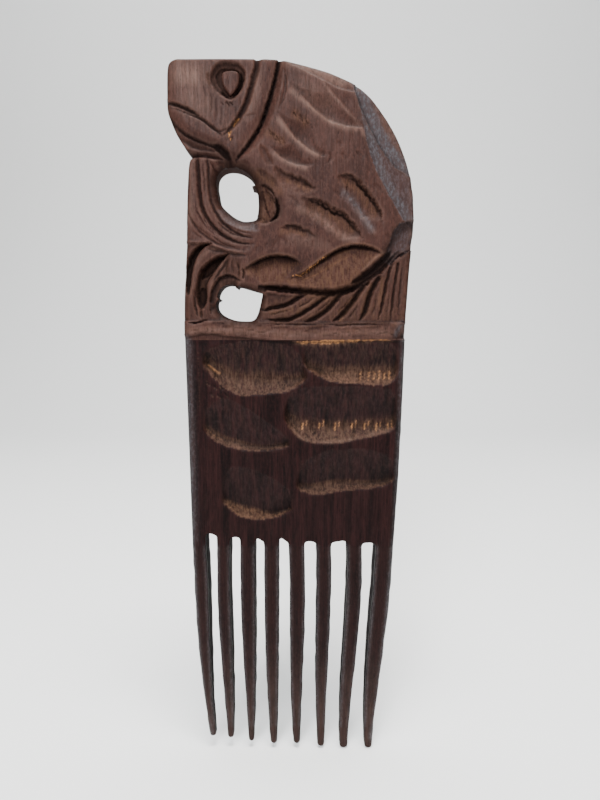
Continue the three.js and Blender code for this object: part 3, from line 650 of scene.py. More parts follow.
def carve_belly_gouges(c):
    """The two long gouges above the belly, their walls raw and torn."""
    arc = [(-13.4, 145), (-11.6, 146.4), (-10, 147.2), (-8, 148.1), (-5, 148.9), (-2, 148.8),
           (0.5, 148.1), (2.2, 147.2)]
    c.stroke(arc, 0.3, 7.6, 1.2, shape=FADING, raw=(0, 0.2), torn=0.9, grow=0.25)
    c.stroke(arc[1:], 0.25, 1.5, 1.6, shape=FADING, grow=0.35, stain=1, torn=0.3)
    arc = [(0.6, 143.4), (3, 144.2), (5.4, 145.8), (8, 147.7), (11, 149.7), (14, 151), (17, 151.7),
           (20, 151.5), (22.5, 150.8), (24.6, 149.7)]
    c.stroke(arc, 0.3, 10.5, 1.6, shape=FADING, raw=(0.1, 0.38), torn=0.9, grow=0.2, ends=(0.25, 0.1))
    c.stroke(arc[2:], 0.25, 1.3, 1.9, shape=FADING, grow=0.35, stain=1, torn=0.3)
    c.stroke([(0.4, 143.5), (2.5, 143.8), (5, 145.5), (8, 147.7), (11, 149.8)], 0.35, 0.3, 0.2,
             raw=(0.9, 0.9), ends=(0.6, 0.2))
    c.tint("raw", [(9, 148.2), (12, 149.6), (15, 150.5)], 0.35, 0.7)
    c.tint("raw", [(2, 144.4), (5.2, 146.4), (8, 148.4), (11, 150.3), (14, 151.7), (17, 152.3),
                   (20, 152.1), (22.6, 151.3), (24.8, 150.2)], 0.3, 0.6)
    c.tint("rub", [(24.8, 150), (22, 147.7), (19.6, 145.2)], 0.4, 0.7)
    c.tint("raw", [(-11, 147.2), (-8, 148.7), (-5, 149.4), (-2, 149.3), (1, 148.6)], 0.3, 0.4)
    c.tint("raw", [(3, 142.6), (7, 144.2), (11, 146.6), (15, 148.6)], 1.1, 0.62)
    c.tint("stain", [(-10, 146), (-6, 147.4), (-2, 147.6), (1.4, 146.6)], 1.6, 0.65)
    for i in range(34):
        x = scattered(i, -10, 32)
        z = np.interp(x, [-10, -3, 2, 8, 16, 22], [144.6, 145.6, 143.4, 144.6, 147.2, 148.8])
        z += 1.6 * math.sin(i * 2.1)
        c.tint("stain", [(x, z), (x + 0.2, z - 0.8 - 0.5 * math.sin(i))], 0.22 + 0.08 * math.sin(i * 1.3),
               0.45)
    c.facet([(18.2, 142.4), (19.6, 145.2), (22.2, 147.5), (25.2, 149.9)], 0.55, 0.1, reach=3.2, side=-1)


def carve_belly_edge(c):
    """The belly's undercut, with the hollow at its right end, and old tool marks by the tail."""
    # the undercut's floor is darkened, partly as painted shade
    c.stroke([(-9, 140.6), (-5, 140.3), (0, 139.8), (5, 139.4), (10, 139.2), (15, 139.8), (18, 141),
              (20.5, 142.7), (23.5, 144.8), (26.5, 147.6), (29.5, 150.6)], 1.2, 1.2, 2.4, shape=SHELF,
             ends=(0.5, 0.3), grow=0.2, wander=0.2, stain=0.85)
    c.stroke([(16, 141.4), (19.5, 143.2), (22.5, 145.3), (25.5, 148.2), (27.6, 151)], 1.7, 1.5, 2.3,
             shape=SHELF, stain=1)
    c.stroke([(-17.5, 149.7), (-15, 149.4), (-12.3, 149.1)], 0.3, 0.8, 0.35)
    c.stroke([(-14.9, 142.5), (-14.6, 145), (-15.3, 147.6)], 0.4, 0.6, 0.5, torn=0.5)
    c.stroke([(-13.6, 142.6), (-13.2, 144.4), (-13.9, 145.8)], 0.5, 0.5, 0.6, torn=0.5, stain=0.4)
    for x, low in ((-11.6, 150), (-9.8, 149.6), (-7.4, 150.2), (-15.6, 147.4), (-12.6, 147), (-5, 150.6)):
        c.stroke([(x, low), (x + 0.2, low + 1.4), (x + 0.8, low + 2.6)], 0.3, 0.4, 0.12)


def carve_tail(c):
    """Slopes into the upper hole, and the long lines of the tail."""
    c.facet([(-20.8, 161), (-22.1, 164.5), (-22.5, 168), (-22.2, 171.5), (-20.8, 174)], 0.7, 0.0, reach=4,
            side=-1, straight=False)
    # a painted grey reflection on the slope below the hole
    c.facet([(-20.8, 161), (-19.2, 158.8), (-17, 157.2), (-14.5, 156.2), (-11.8, 155.6), (-8.6, 155.6)],
            0.7, 0.0, reach=4, straight=False, sheen=0.5)
    c.facet([(-22.5, 174.5), (-18.5, 176.4), (-15, 176.2), (-11.4, 173.6), (-8.8, 170.6), (-6.5, 167)],
            0.35, 0.0, reach=5, side=-1, straight=False)
    c.stroke([(-20.6, 174.4), (-18, 173.8), (-14.6, 173.6), (-11.6, 172), (-9.4, 169.8)], 0.8, 1.4, 0.8,
             shape=SOFT, stain=0.6, torn=0.3)
    # long cuts that sweep down the tail and round to the right
    c.stroke([(-25.4, 175.8), (-25.1, 170), (-24.8, 165), (-24.1, 161.4), (-22.4, 158.2), (-19.9, 155.5),
              (-17, 153.6), (-13.5, 152.4), (-9.5, 152.2)], 0.5, 1.0, 0.95, ends=(0.8, 0.05), grow=0.4,
             stain=0.55)
    c.stroke([(-22.9, 175), (-22.5, 170), (-22.2, 165), (-21.1, 161.3), (-19.1, 158.1), (-16.5, 155.9),
              (-13.5, 154.3), (-10, 153.6)], 0.9, 0.6, 0.8, ends=(0.5, 0.05), grow=0.35, stain=0.5)
    c.stroke([(-24.2, 174), (-23.7, 169), (-23.5, 164)], 0.3, 0.5, 0.3)
    c.stroke([(-28.9, 164), (-28, 159.7), (-26.3, 156.8), (-23.8, 154.4), (-21, 152.6), (-17.5, 151.2),
              (-13.5, 150.6)], 0.8, 0.6, 0.55, grow=0.45, shape=("fade", "vee"))
    c.stroke([(-26.2, 163), (-25.6, 160.4), (-24, 157.6), (-21.6, 155.2), (-19, 153.4)], 0.3, 0.4, 0.4)
    c.stroke([(-24.8, 160.8), (-23.2, 157.6), (-21.6, 155.9), (-19, 154)], 0.3, 0.4, 0.5)
    c.stroke([(-20.6, 158.4), (-18, 156), (-15, 154.6), (-12, 153.9)], 0.3, 0.4, 0.5, stain=0.4)
    c.stroke([(-19, 158.9), (-16.8, 157), (-14, 155.7), (-11, 154.9)], 0.3, 0.4, 0.35)
    c.stroke([(-27.8, 172.5), (-28, 166), (-28.4, 160)], 0.3, 0.7, 0.22, shape=("vee", "soft"))
    c.tint("rub", [(-27.4, 172), (-27.2, 165), (-27.6, 158.5)], 1.0, 0.35)
    c.stroke([(-22.6, 155), (-20, 153.1), (-17.8, 151.9), (-15, 151.2)], 0.25, 0.4, 0.4)
    c.stroke([(-26.4, 157.4), (-24.2, 155.6), (-22.2, 154.2)], 0.25, 0.5, 0.25)
    c.stroke([(-27.4, 156), (-25.4, 154.2), (-23.6, 153.4)], 0.3, 0.5, 0.2)


def carve_reeds(c):
    """The hollow along the outline, the one between the leaves, and the leaves' edges."""
    c.pit([(-29.4, 138), (-29.9, 140.6), (-30.05, 143), (-29.7, 145.2), (-28.9, 147.4), (-27.8, 149.8),
           (-26.4, 151.5), (-25, 152.3), (-23.2, 152.7), (-21.4, 152.4), (-23.2, 151.7), (-24.6, 150.7),
           (-25.8, 149), (-26.8, 147), (-27.4, 144.2), (-27.8, 141.6), (-28.5, 138.6)], 2.1, 0.7,
          stain=0.72, torn=0.5)
    c.stroke([(-29.6, 146.9), (-28, 148), (-26.6, 148.5)], 0.2, 0.4, 0.3, stain=0)
    c.facet([(-28.6, 131), (-28.7, 135.5), (-28.2, 139.6), (-27.8, 142)], 0.3, 0.0, reach=3.4, side=1)
    c.tint("rub", [(-21, 151.4), (-24, 149.6), (-26.2, 146.6), (-27.2, 143), (-28.2, 138)], 0.45, 0.7)
    c.tint("rub", [(-17.6, 149.4), (-19.4, 146.6), (-21.4, 143.4), (-22.9, 139.6)], 0.4, 0.5)
    # the long hollow between the leaves, and its two deepest places, their dark floors partly painted shade
    c.pit([(-17, 149.8), (-19, 149.4), (-21, 148.7), (-23.4, 147.2), (-25, 145.9), (-25.9, 144),
           (-26.4, 141.6), (-26.8, 139), (-26.6, 136.4), (-25.7, 134.5), (-24.5, 134.7), (-23.9, 136.6),
           (-23.5, 138.6), (-23.5, 140.6), (-22.7, 142.5), (-21.5, 144.2), (-20.3, 145.9), (-19.1, 147.4),
           (-17.8, 148.8)], 1.7, 0.55, stain=0.42, torn=0.6)
    c.pit([(-17, 149.9), (-19, 149.5), (-21, 148.9), (-23, 147.7), (-24.7, 146), (-25.5, 144),
           (-25.8, 142), (-24.4, 142.6), (-22.8, 143.4), (-21.5, 144.6), (-20.5, 146), (-19.4, 147.4),
           (-18.2, 148.8)], 2.6, 0.7, stain=0.75)
    c.pit([(-26.3, 139.8), (-25.3, 140.9), (-24.1, 140.6), (-23.5, 139.2), (-23.5, 137), (-24.1, 135.4),
           (-25.3, 134.9), (-26.2, 135.9), (-26.5, 137.8)], 2.3, 0.6, stain=0.75)
    c.stroke([(-26.2, 132.2), (-26.9, 135), (-26.8, 139), (-25.9, 142.3)], 0.4, 0.5, 0.8, stain=0.4)
    c.stroke([(-25, 131.8), (-25.4, 133.6), (-25.1, 135.4)], 0.5, 0.6, 0.7, torn=0.5)
    c.stroke([(-29, 130.9), (-27.4, 130.7), (-25.6, 130.9), (-23.6, 131.6)], 0.4, 0.35, 1.2, stain=0.9)
    # leaf edges beside the lower hole
    c.stroke([(-22.6, 133.2), (-22.6, 136.5), (-22, 139.8), (-20.8, 142.2), (-19, 143.5), (-16.8, 143.6),
              (-14.6, 142.6)], 0.3, 1.9, 1.35, shape=FADING, ends=(0.2, 0.4), stain=0.5)
    c.stroke([(-21.9, 141.9), (-20.3, 144.3), (-18.6, 146.6), (-17.5, 149)], 0.35, 0.5, 0.5, stain=0.4)
    c.stroke([(-23.6, 151.4), (-21.5, 150.5), (-19, 150.1)], 0.4, 0.5, 0.3)
    c.stroke([(-22.8, 140.6), (-24, 138), (-24.4, 134), (-24.2, 131.8)], 0.3, 0.3, 0.3)
    c.stroke([(-17.9, 143.9), (-18.2, 146), (-17.6, 148.8)], 0.4, 0.6, 0.5, torn=0.4)
    c.stroke([(-16.2, 144.2), (-16.6, 146.4), (-16.2, 148.4)], 0.3, 0.4, 0.25, torn=0.4)


def carve_waves(c):
    """The fan of long strokes below the belly, with torn crests and short splits between them."""
    # each long stroke's floor is darkened, partly as painted shade
    c.stroke([(-8.2, 134), (-5.5, 134.9), (-2, 135.6), (0.5, 136.9), (3.4, 138.6)], 0.9, 0.8, 1.3,
             ends=(0.3, 0.8), stain=0.7)
    c.stroke([(-7.5, 131.7), (-4.5, 131.4), (-1, 131.6), (2, 132.8), (5, 134.6), (8, 136.7), (11, 139)],
             1.0, 0.6, 1.3, ends=(0.1, 0.9), stain=0.7)
    c.stroke([(3, 130.9), (6, 131.8), (8.7, 133.4), (11.2, 135.7), (14, 139.4)], 1.2, 0.7, 1.4,
             ends=(0.05, 1), stain=0.7)
    c.stroke([(11, 130.8), (13.6, 132.5), (15.7, 134.9), (17.7, 137.6), (20.4, 141.8)], 1.3, 0.8, 1.6,
             ends=(0.05, 1), stain=0.7)
    c.stroke([(18.7, 131), (20.2, 133.4), (21.1, 136.2), (22.1, 139.3), (24, 143)], 1.2, 0.7, 1.5,
             ends=(0.1, 1), stain=0.7)
    c.stroke([(23.7, 131), (24.7, 134), (25.5, 138), (26.2, 142), (27.6, 147)], 0.5, 0.4, 1.0,
             ends=(0.1, 1), stain=0.45)
    c.stroke([(27.3, 131), (27.8, 136), (28.4, 141), (29.3, 147)], 0.4, 0.4, 0.8, ends=(0.2, 1), stain=0.45)
    c.stroke([(29.5, 133), (29.8, 139), (30.5, 147)], 0.3, 0.5, 0.35, stain=0.3)
    # lighter along the crests between them
    for line in ([(1.5, 133.8), (6, 136.6)], [(7, 132.7), (12.2, 137.7)], [(13.4, 131.6), (18.4, 138.4)],
                 [(19.4, 133.6), (21.9, 141)], [(-6, 133.4), (0, 134.6)], [(24, 136), (25.4, 143)]):
        c.tint("raw", line, 0.55, 0.5)
        c.tint("torn", line, 0.8, 0.7)
    # short splits between the long ones
    c.stroke([(-6.5, 133), (-3.5, 133.6), (-0.5, 134.4)], 0.3, 0.3, 0.4, raw=(0.2, 0.4))
    c.stroke([(1.5, 134.9), (4.2, 136.4), (6.4, 138)], 0.35, 0.35, 0.5, raw=(0.3, 0.5))
    c.stroke([(6.5, 133.6), (9.2, 135.6), (11.2, 137.7)], 0.35, 0.4, 0.5, raw=(0.3, 0.5))
    c.stroke([(12.5, 133.6), (14.6, 135.6), (16.8, 138.4)], 0.4, 0.5, 0.5, raw=(0.3, 0.6), torn=0.5)
    c.stroke([(15.5, 131.6), (17, 133.6), (18.2, 135.8)], 0.4, 0.4, 0.4, torn=0.8)
    c.stroke([(21.6, 132), (22.9, 135), (23.5, 139)], 0.3, 0.6, 0.3, raw=(0.2, 0.3))
    c.stroke([(26, 132), (26.7, 136), (27.2, 140)], 0.25, 0.3, 0.25, raw=(0, 0.3))
    # torn fibres all over the fan
    for i in range(40):
        x, z = scattered(i, -6, 36), 134.5 + 3.2 * math.sin(i * 2.3)
        c.tint("torn", [(x - 1.2, z - 1.4), (x + 1.2, z + 1.4)], 0.7, 0.65)


def ledge_line(x):
    """The height of the ledge's wavering lower edge."""
    across = [-31, -28, -25, -22, -18, -13, -10, -5, 0, 6, 12, 20, 25, 28, 31]
    heights = [127.6, 127.7, 128.3, 128.3, 127.6, 127.2, 126.8, 126.2, 126, 126.1, 126.2, 126.4, 126.5,
               126.3, 126.4]
    return np.interp(x, across, heights)


def carve_ledge(c):
    """Scratches and stains along the ledge, the broken line on top of it and its pared ends."""
    c.tint("rub", [(-28, 128.6), (-20, 128.8), (-10, 128.2), (0, 127.6), (12, 127.8), (27, 128.2)], 1.1,
           0.6)
    for x, z in ((-27, 127.9), (-19, 129.8), (-12, 129.9), (-4, 129.4), (5, 129.2), (9, 127.2), (17, 127),
                 (22, 129.6)):
        c.tint("stain", [(x, z), (x + 2.6, z + 0.2)], 0.4, 0.5)
    for i in range(34):
        x, z = scattered(i, -28, 56), 128.7 + 1.3 * math.sin(i * 2.3)
        c.stroke([(x, z), (x + 1.4, z + 0.1), (x + 2.6, z - 0.1)], 0.15, 0.25, 0.26, stain=0.42)
    c.tint("stain", [(-22, 130.8), (-10, 130.6), (4, 130.6), (16, 130.5), (27, 130.6)], 0.5, 0.6)
    # painted grey reflection on the pared right end
    c.tint("sheen", [(30.8, 131), (29.8, 129.4), (28.8, 127.4)], 0.8, 0.7)
    for i in range(26):
        x, z = scattered(i, -28, 56), 128.8 + 1.1 * math.sin(i * 1.7)
        c.tint("torn", [(x - 1.4, z), (x + 1.4, z)], 0.5, 0.55)
        c.tint("stain", [(x + 0.8, z - 0.5), (x + 1.5, z - 0.4)], 0.25, 0.3)
    # broken dark line along the top of the ledge
    c.stroke([(-22.5, 130.9), (-18, 130.6), (-14, 130.4)], 0.35, 0.3, 0.4)
    c.stroke([(-9, 130.6), (-3, 130.4), (3, 130.3), (9, 130.3)], 0.4, 0.3, 0.8)
    c.stroke([(8, 130.4), (14, 130.1), (20, 130.3), (26.5, 130.4)], 0.4, 0.3, 0.9)
    for start, end, height in ((-7, 9, 129.5), (4, 17, 129.1), (12, 26, 129.4), (-20, -8, 129.8),
                               (14, 24, 128.2), (18, 27, 128.8), (-28, -21, 129.2), (-14, -4, 128.6),
                               (0, 8, 128.4)):
        drift = 0.25 * math.sin(start)
        c.stroke([(start, height), ((start + end) / 2, height + drift), (end, height - drift / 2)], 0.2,
                 0.3, 0.14)
    c.facet([(30.4, 131.6), (29.3, 129.8), (28.2, 128), (27.4, 125.6)], 0.55, 0.1, side=1, reach=4)
    c.facet([(-29, 126), (-29.2, 129), (-29.4, 133)], 0.5, 0.0, side=1, reach=3)


def gouge(c, places, deep, raw, reach=2.5):
    """One scoop of the panel. Each place along it gives x, its lower rim, the foot of the raw slope that
    rises to that rim, and the upper edge of the smooth hollow above."""
    p = np.asarray(places, float)
    low, turn, high = (spline(p[:, [0, k]], 0.5) for k in (1, 2, 3))
    at = c.near([(p[0, 0], p[:, 1].min()), (p[-1, 0], p[:, 3].max())], reach)
    x, z = c.x[at], c.z[at]
    wave = 0.16 * noise(x * 0.7, z * 0.5, 91) + 0.12 * noise(x * 2.4, z * 1.2, 92)
    rim = np.interp(x, low[:, 0], low[:, 1]) + wave
    foot = np.interp(x, turn[:, 0], turn[:, 1]) + wave
    top = np.interp(x, high[:, 0], high[:, 1]) + wave
    ends = smoothstep((x - p[0, 0]) / 1.6) * smoothstep((p[-1, 0] - x) / 1.6)
    on = (z > rim) & (z < top) & (ends > 0)
    rise = np.clip((z - rim) / np.maximum(foot - rim, 0.3), 0, 1)
    fall = np.clip((top - z) / np.maximum(top - foot, 0.3), 0, 1)
    down = np.where(z < foot, np.sin(rise * math.pi / 2), fall ** 0.8)
    c.raise_to("cut", at, deep * ends * down * on)
    over = smoothstep((foot + reach - z) / reach) ** 2
    # A faint painted grey reflection in the hollow above; the raw slope below faces up and is painted
    # lighter, partly as a highlight.
    c.raise_to("sheen", at, 0.06 * ends * on * (z > foot) * (1 - over))
    c.raise_to("raw", at, raw * ends * on * np.where(z < foot, 1, over * 0.7))
    c.raise_to("torn", at, ends * on * np.where(z < foot, 0.35, 0.1 + 0.15 * (z > 113) + over * 0.4))


def carve_gouges(c):
    """The six scoops of the panel, left and right in three rows."""
    gouge(c, [(-25.4, 119.6, 120.2, 121.4), (-23, 116.2, 119.2, 123.6), (-20, 113.2, 117.4, 124.6),
              (-17, 111.2, 116, 125.2), (-14, 110.2, 115.4, 125.6), (-8, 110.7, 115.2, 125.4),
              (-1, 111.6, 115, 124.4), (2.4, 113.6, 115.2, 121.4), (4.4, 115.4, 116, 118)], 1.9, 0.47,
          reach=3.5)
    gouge(c, [(2.6, 120, 120.6, 122), (5, 117.4, 118.6, 124.4), (9, 115.2, 117.4, 125.2),
              (12, 114.2, 117.2, 125.4), (19, 113.6, 117.4, 125.4), (26, 113.3, 117.4, 125.2),
              (28.4, 114.6, 117.6, 124.6), (30.4, 117, 118, 121)], 1.9, 0.6, reach=3.0)
    gouge(c, [(-2.6, 104.4, 105, 106), (-0.8, 101, 104, 110.4), (1.5, 98.5, 102.6, 112.2),
              (4.5, 97, 101.8, 112.8), (9, 96.5, 101.4, 113), (14, 96.8, 101.4, 113),
              (22, 98.4, 101.8, 112.8), (28, 100.2, 102.6, 111.8), (30.2, 103, 104, 107)], 2.1, 0.48,
          reach=3.5)
    gouge(c, [(-25.8, 101.4, 102, 103.4), (-24, 98.8, 100.8, 106.8), (-20.5, 96.4, 98.6, 109.4),
              (-17, 95.2, 97.2, 109), (-13, 94.5, 96, 106.8), (-9, 94.4, 95.3, 104),
              (-5, 94.9, 95.4, 101.2), (-0.5, 95.8, 96.2, 97.4)], 1.35, 0.5, reach=1.6)
    gouge(c, [(0.8, 84, 84.6, 86), (3, 82.4, 84, 90.4), (6, 81.4, 84, 93), (10, 81.6, 84.6, 94.4),
              (14, 82.6, 85.2, 94.8), (19, 83, 85, 95), (24, 83.6, 84.8, 94.4), (28, 84.9, 85.4, 92.4),
              (30, 86.6, 87, 89)], 1.6, 0.54, reach=1.4)
    gouge(c, [(-20.8, 80, 80.6, 83), (-18.2, 77, 79.2, 89.2), (-15.6, 75.2, 78, 89.8),
              (-13, 74.3, 77.4, 89.6), (-10, 74, 76.6, 88.4), (-7, 74.4, 75.8, 87),
              (-3, 75.4, 75.9, 84.6), (0.4, 77.4, 77.8, 81)], 1.5, 0.62, reach=1.0)


def carve_chatter(c):
    """Torn chatter along the middle of the largest scoop, and raw ends on two others."""
    for i, x in enumerate((3.4, 8.3, 12.8, 17.7, 21.3, 24.7, 28)):
        lean = 0.3 * math.sin(i * 2.3)
        c.tint("raw", [(x - 0.6, 100.5 + lean), (x - 0.4, 102.1)], 0.5, 0.95)
        c.tint("raw", [(x + 0.5, 101.1), (x + 0.7, 102.7 + lean)], 0.42, 0.88)
        c.tint("stain", [(x + 1.7, 100.6), (x + 1.9, 102.8)], 0.55, 0.5)
        for shift in (-1, 0.1, 1.2) if x < 27 else (-1,):
            c.stroke([(x + shift, 100.2 - lean), (x + shift + 0.2, 103 + lean)], 0.3, 0.35, 2.4,
                     stain=0.35, grow=0.5, wander=0.2)
    c.tint("rub", [(0.4, 100.4), (2.2, 98.4), (5, 97.3), (9, 96.9), (14, 97.2), (22, 98.9), (28, 100.7)],
           0.45, 1)
    for i, x in enumerate((19.4, 21.8, 23.4, 24.8, 26.2, 27.6)):
        lean = 0.5 * math.sin(i * 3)
        c.tint("raw", [(x - 0.2, 114.9), (x + 0.1, 117 + lean)], 0.4 + 0.1 * lean, 0.86)
        c.stroke([(x + 0.7, 114.4), (x + 0.8, 117.8 - lean)], 0.2, 0.25, 1.95, stain=0.4, grow=0.5)
    c.tint("raw", [(-23.8, 118.9), (-22.2, 117.5), (-20.6, 116.5)], 0.8, 0.8)
    c.tint("raw", [(-24.4, 100.6), (-22.6, 98.8), (-20, 97.4)], 0.45, 0.7)
    for x, z, run in ((-23.4, 118.6, 2.4), (-22.2, 117.6, 2.6), (-24.2, 119.2, 1.6), (-21, 116.6, 2.6)):
        c.stroke([(x, z), (x + 0.7, z - run * 0.5), (x + 1.5, z - run)], 0.25, 0.3, 1.6, stain=0.4,
                 grow=0.4)
    for x, z in ((-24.2, 113.6), (-22.4, 112.8), (-20.6, 112.6), (-23.4, 110.6), (-21.4, 110.2),
                 (-19.2, 110.6)):
        c.stroke([(x, z + 0.9), (x + 0.5, z), (x + 1.5, z - 0.8)], 0.25, 0.35, 0.3, raw=(0, 0.35))


def wear_panel(c):
    """Darker low down, paler tips, and a painted grey reflection down the worn edges."""
    c.stain[:] = np.maximum(c.stain, 0.2 * smoothstep((102 - c.z) / 22) * (c.z > ROOT))
    c.rub[:] = np.maximum(c.rub, 0.9 * smoothstep((44 - c.z) / 42))
    for tooth in TEETH:
        for side in (-1, 1):
            edge = [(m + side * (h - 0.25), z) for z in (8, 28, 48, 66)
                    for m, h, _ in [tooth_shape(tooth, (z - tooth.lift) / (ROOT - tooth.lift))]]
            c.tint("sheen", edge, 0.5, 0.5)
    c.tint("sheen", [(-24.9, 4), (-27, 14), (-28.3, 30), (-29, 50), (-29.3, 68)], 0.8, 1.0)
    c.tint("sheen", [(24.2, 4), (25.6, 14), (27, 30), (28.6, 50), (29.6, 68)], 0.8, 1.0)
    c.tint("sheen", [(-29.2, 68), (-29.2, 85), (-29.5, 105), (-29.7, 126)], 1.3, 1.0)
    c.tint("sheen", [(29.9, 68), (30.4, 85), (30.9, 105), (31.2, 126)], 0.8, 0.9)


def mark_flat(c):
    """Faint marks on the flat wood, lighter and darker along the grain."""
    for i in range(60):
        x, z = scattered(i, -27, 55), scattered(i, 69, 55, 0.367)
        c.tint("stain", [(x, z), (x + 0.2, z + 3 + 2 * math.sin(i * 2.1))], 0.28, 0.5)
        x, z = scattered(i, -27, 55, shift=0.31), scattered(i, 69, 55, 0.367, 0.47)
        c.tint("rub", [(x, z), (x + 0.1, z + 2.6 + 1.6 * math.sin(i * 1.3))], 0.2, 0.13)
    c.stroke([(-26.9, 103.5), (-26.6, 112), (-26.5, 124.5)], 0.3, 0.3, 0.2, raw=(0, 0.15))
    for x, low, high in ((-23.5, 84, 98), (-21, 90, 96), (-17.8, 88.5, 95), (-15, 90.2, 94),
                         (-22.2, 74, 80), (-19, 70, 76), (-25, 76, 92), (-2.6, 86, 93), (3, 91, 95.5),
                         (-14, 106, 109), (-27.6, 82, 100), (-20, 91, 95.6), (8, 73, 79), (14, 70, 78),
                         (21, 72, 81), (-7, 70.6, 74)):
        c.stroke([(x, low), (x + 0.15, (low + high) / 2), (x, high)], 0.2, 0.25, 0.12)


CREST_CUTS = (
    carve_mouth, carve_eye_socket, carve_cheek, carve_gill, pare_back, carve_scales, carve_deep_scales,
    wear_body, carve_recess, carve_belly_gouges, carve_belly_edge, carve_tail, carve_reeds, carve_waves,
    carve_ledge,
)
PANEL_CUTS = (carve_gouges, carve_chatter, wear_panel, mark_flat)


# ---- the board's two faces ----
def carve_levels(c):
    """The broad levels that the tail, the reeds and the waves are cut down to."""
    c.terrace([(-40, 175.6), (-27.1, 175.4), (-20.5, 174.8), (-17, 173.6), (-15, 166), (-11.3, 158),
               (-9.6, 155.5), (-9, 152.5), (-13, 149.8), (-18, 150.6), (-23, 152.2), (-29, 152.6),
               (-40, 152.6)], 0.45, 0.8, fade=(-9.5, -16))
    c.terrace([(-40, 153), (-29, 152.8), (-23, 152.6), (-18, 150.6), (-13, 149.6), (-14.2, 145),
               (-12, 138), (-14, 130.9), (-40, 130.9)], 0.8, 0.7, fade=(-12.4, -18.5))
    c.terrace([(-14, 136), (-9, 139.4), (-5, 139.3), (0, 138.9), (8, 138.8), (15, 139.6), (21, 142.4),
               (26, 146.5), (29.4, 149.8), (36, 152), (36, 130.6), (26, 130.4), (10, 130.3),
               (-12, 130.6)], 0.95, 0.8)


def lip_raw_and_lit(x, z, under):
    """The strip of raw wood under the ledge, also painted bright as a highlight, at its widest in the middle
    and gone at the left.
    """
    wide = np.interp(x, [-1, 3, 8, 14, 18, 28], [0.35, 0.95, 1.25, 1.0, 0.65, 0.45])
    wide = wide * (1 + 0.35 * noise(x * 1.1, x * 0, 93))
    lip = np.exp(-((under - 0.5) / wide) ** 2) * smoothstep(under / 0.2)
    lip = lip * (0.95 + 0.3 * noise(x * 1.5, z * 1.1, 94))
    along = smoothstep((x + 0.5) / 2.5) * (1 - 0.25 * smoothstep((x - 17) / 3)) * smoothstep((29 - x) / 2)
    return 1.15 * lip * along


def grain_relief(x, z, under, torn):
    """The grain stands a little proud, tools leave broad marks and torn wood is rough."""
    fine = noise(x * 1.4, z * 0.1, 11) + 0.6 * noise(x * 2.1, z * 0.24, 12)
    along, across = z + 0.45 * x, x - 0.45 * z
    tool = noise(across * 0.34, along * 0.09, 13) + 0.5 * noise(across * 0.8, along * 0.16, 14)
    fibre = noise(x * 5.5, z * 1.1, 15) + noise(x * 9, z * 2.4, 16)
    flat = np.where(z < ROOT, 0.4, 1)
    relief = np.where(z > LEDGE_LOW, 0.007, 0.014) * fine * flat + 0.05 * tool * flat + 0.07 * torn * fibre
    chatter = noise(x * 1.7, z * 0.85, 18) + 0.7 * noise(x * 3.1, z * 1.3, 19)
    return relief + 0.04 * chatter * (under > 0.6) * smoothstep((z - ROOT) / 5)


def worn_round(edge, radius):
    """How far an edge worn round to that radius falls away, at a distance in from it."""
    share = 1 - np.minimum(edge / radius, 1)
    return np.where(edge < radius, radius * (1 - np.sqrt(1 - share ** 2)), 0)


def thin_teeth(depth, x, z):
    """Adds what each tooth has lost from one face, as it thins towards its tip."""
    for tooth in TEETH:
        middle, half, thick = tooth_shape(tooth, np.clip((z - tooth.lift) / (ROOT - tooth.lift), 0, 1))
        on = (z < ROOT) & (np.abs(x - middle) < half + 0.5)
        depth = np.where(on, depth + (THICK - PANEL_LEVEL) / 2 - thick, depth)
    return depth


def by_holes(x, z):
    """Whether each place is near one of the two holes."""
    return (x > -23) & (x < -7) & (z > 130) & (z < 174)


def edge_radius(x, z):
    """How round the face's edge is: plainly down the sides, hardly at the slots and holes."""
    crest_top = 131
    side = (np.abs(x) > 28.5 - 0.04 * np.maximum(ROOT - z, 0)) & (z < crest_top)
    crest = np.interp(z, [125, 131, 138, 152, 160, 170], [1.7, 1.5, 1.3, 1.3, 0.95, 0.85])
    radius = np.where(z > crest_top, crest, np.where(side, 1.7, np.where(z < ROOT, 0.8, 0.5)))
    radius = np.where(by_holes(x, z), 0.5, radius)
    tips = smoothstep((22 - z) / 18)
    return radius + (TIP_RADIUS - radius) * tips * (z < 40)


def front_depth(x, z, edge):
    """The carved face's depth at each place, and its masks. Edge is the distance to the outline."""
    c = Carving(x, z)
    carve_levels(c)
    for carve in CREST_CUTS:
        carve(c)
    crest_cut = c.cut.copy()
    c.cut[:] = 0
    for carve in PANEL_CUTS:
        carve(c)
    under = ledge_line(x) - z
    below = smoothstep(under / 0.5)
    cut = np.where(under > 0, np.maximum(c.cut * below, 0), crest_cut)
    raw = np.clip(np.maximum(c.raw, lip_raw_and_lit(x, z, under)), 0, 1)

    drop = PANEL_LEVEL * smoothstep(under / 0.9)
    base = thin_teeth(c.level + drop + worn_round(edge, edge_radius(x, z)), x, z)
    depth = base + cut + grain_relief(x, z, under, c.torn) * smoothstep(edge / 0.4)
    # the ledge leans back a little towards its top
    lean = 0.12 * smoothstep((z - 128.2) / 2.6) + 0.07 * (1 + noise(x * 0.5, z * 1.6, 17))
    depth = np.where((under < 0) & (z < 131.2), np.maximum(depth, lean), depth)
    stain = np.where(under > 0, c.stain * below, c.stain)
    masks = {"raw": raw, "torn": c.torn, "sheen": c.sheen, "stain": stain, "rub": c.rub}
    return np.maximum(depth, 0.0), masks


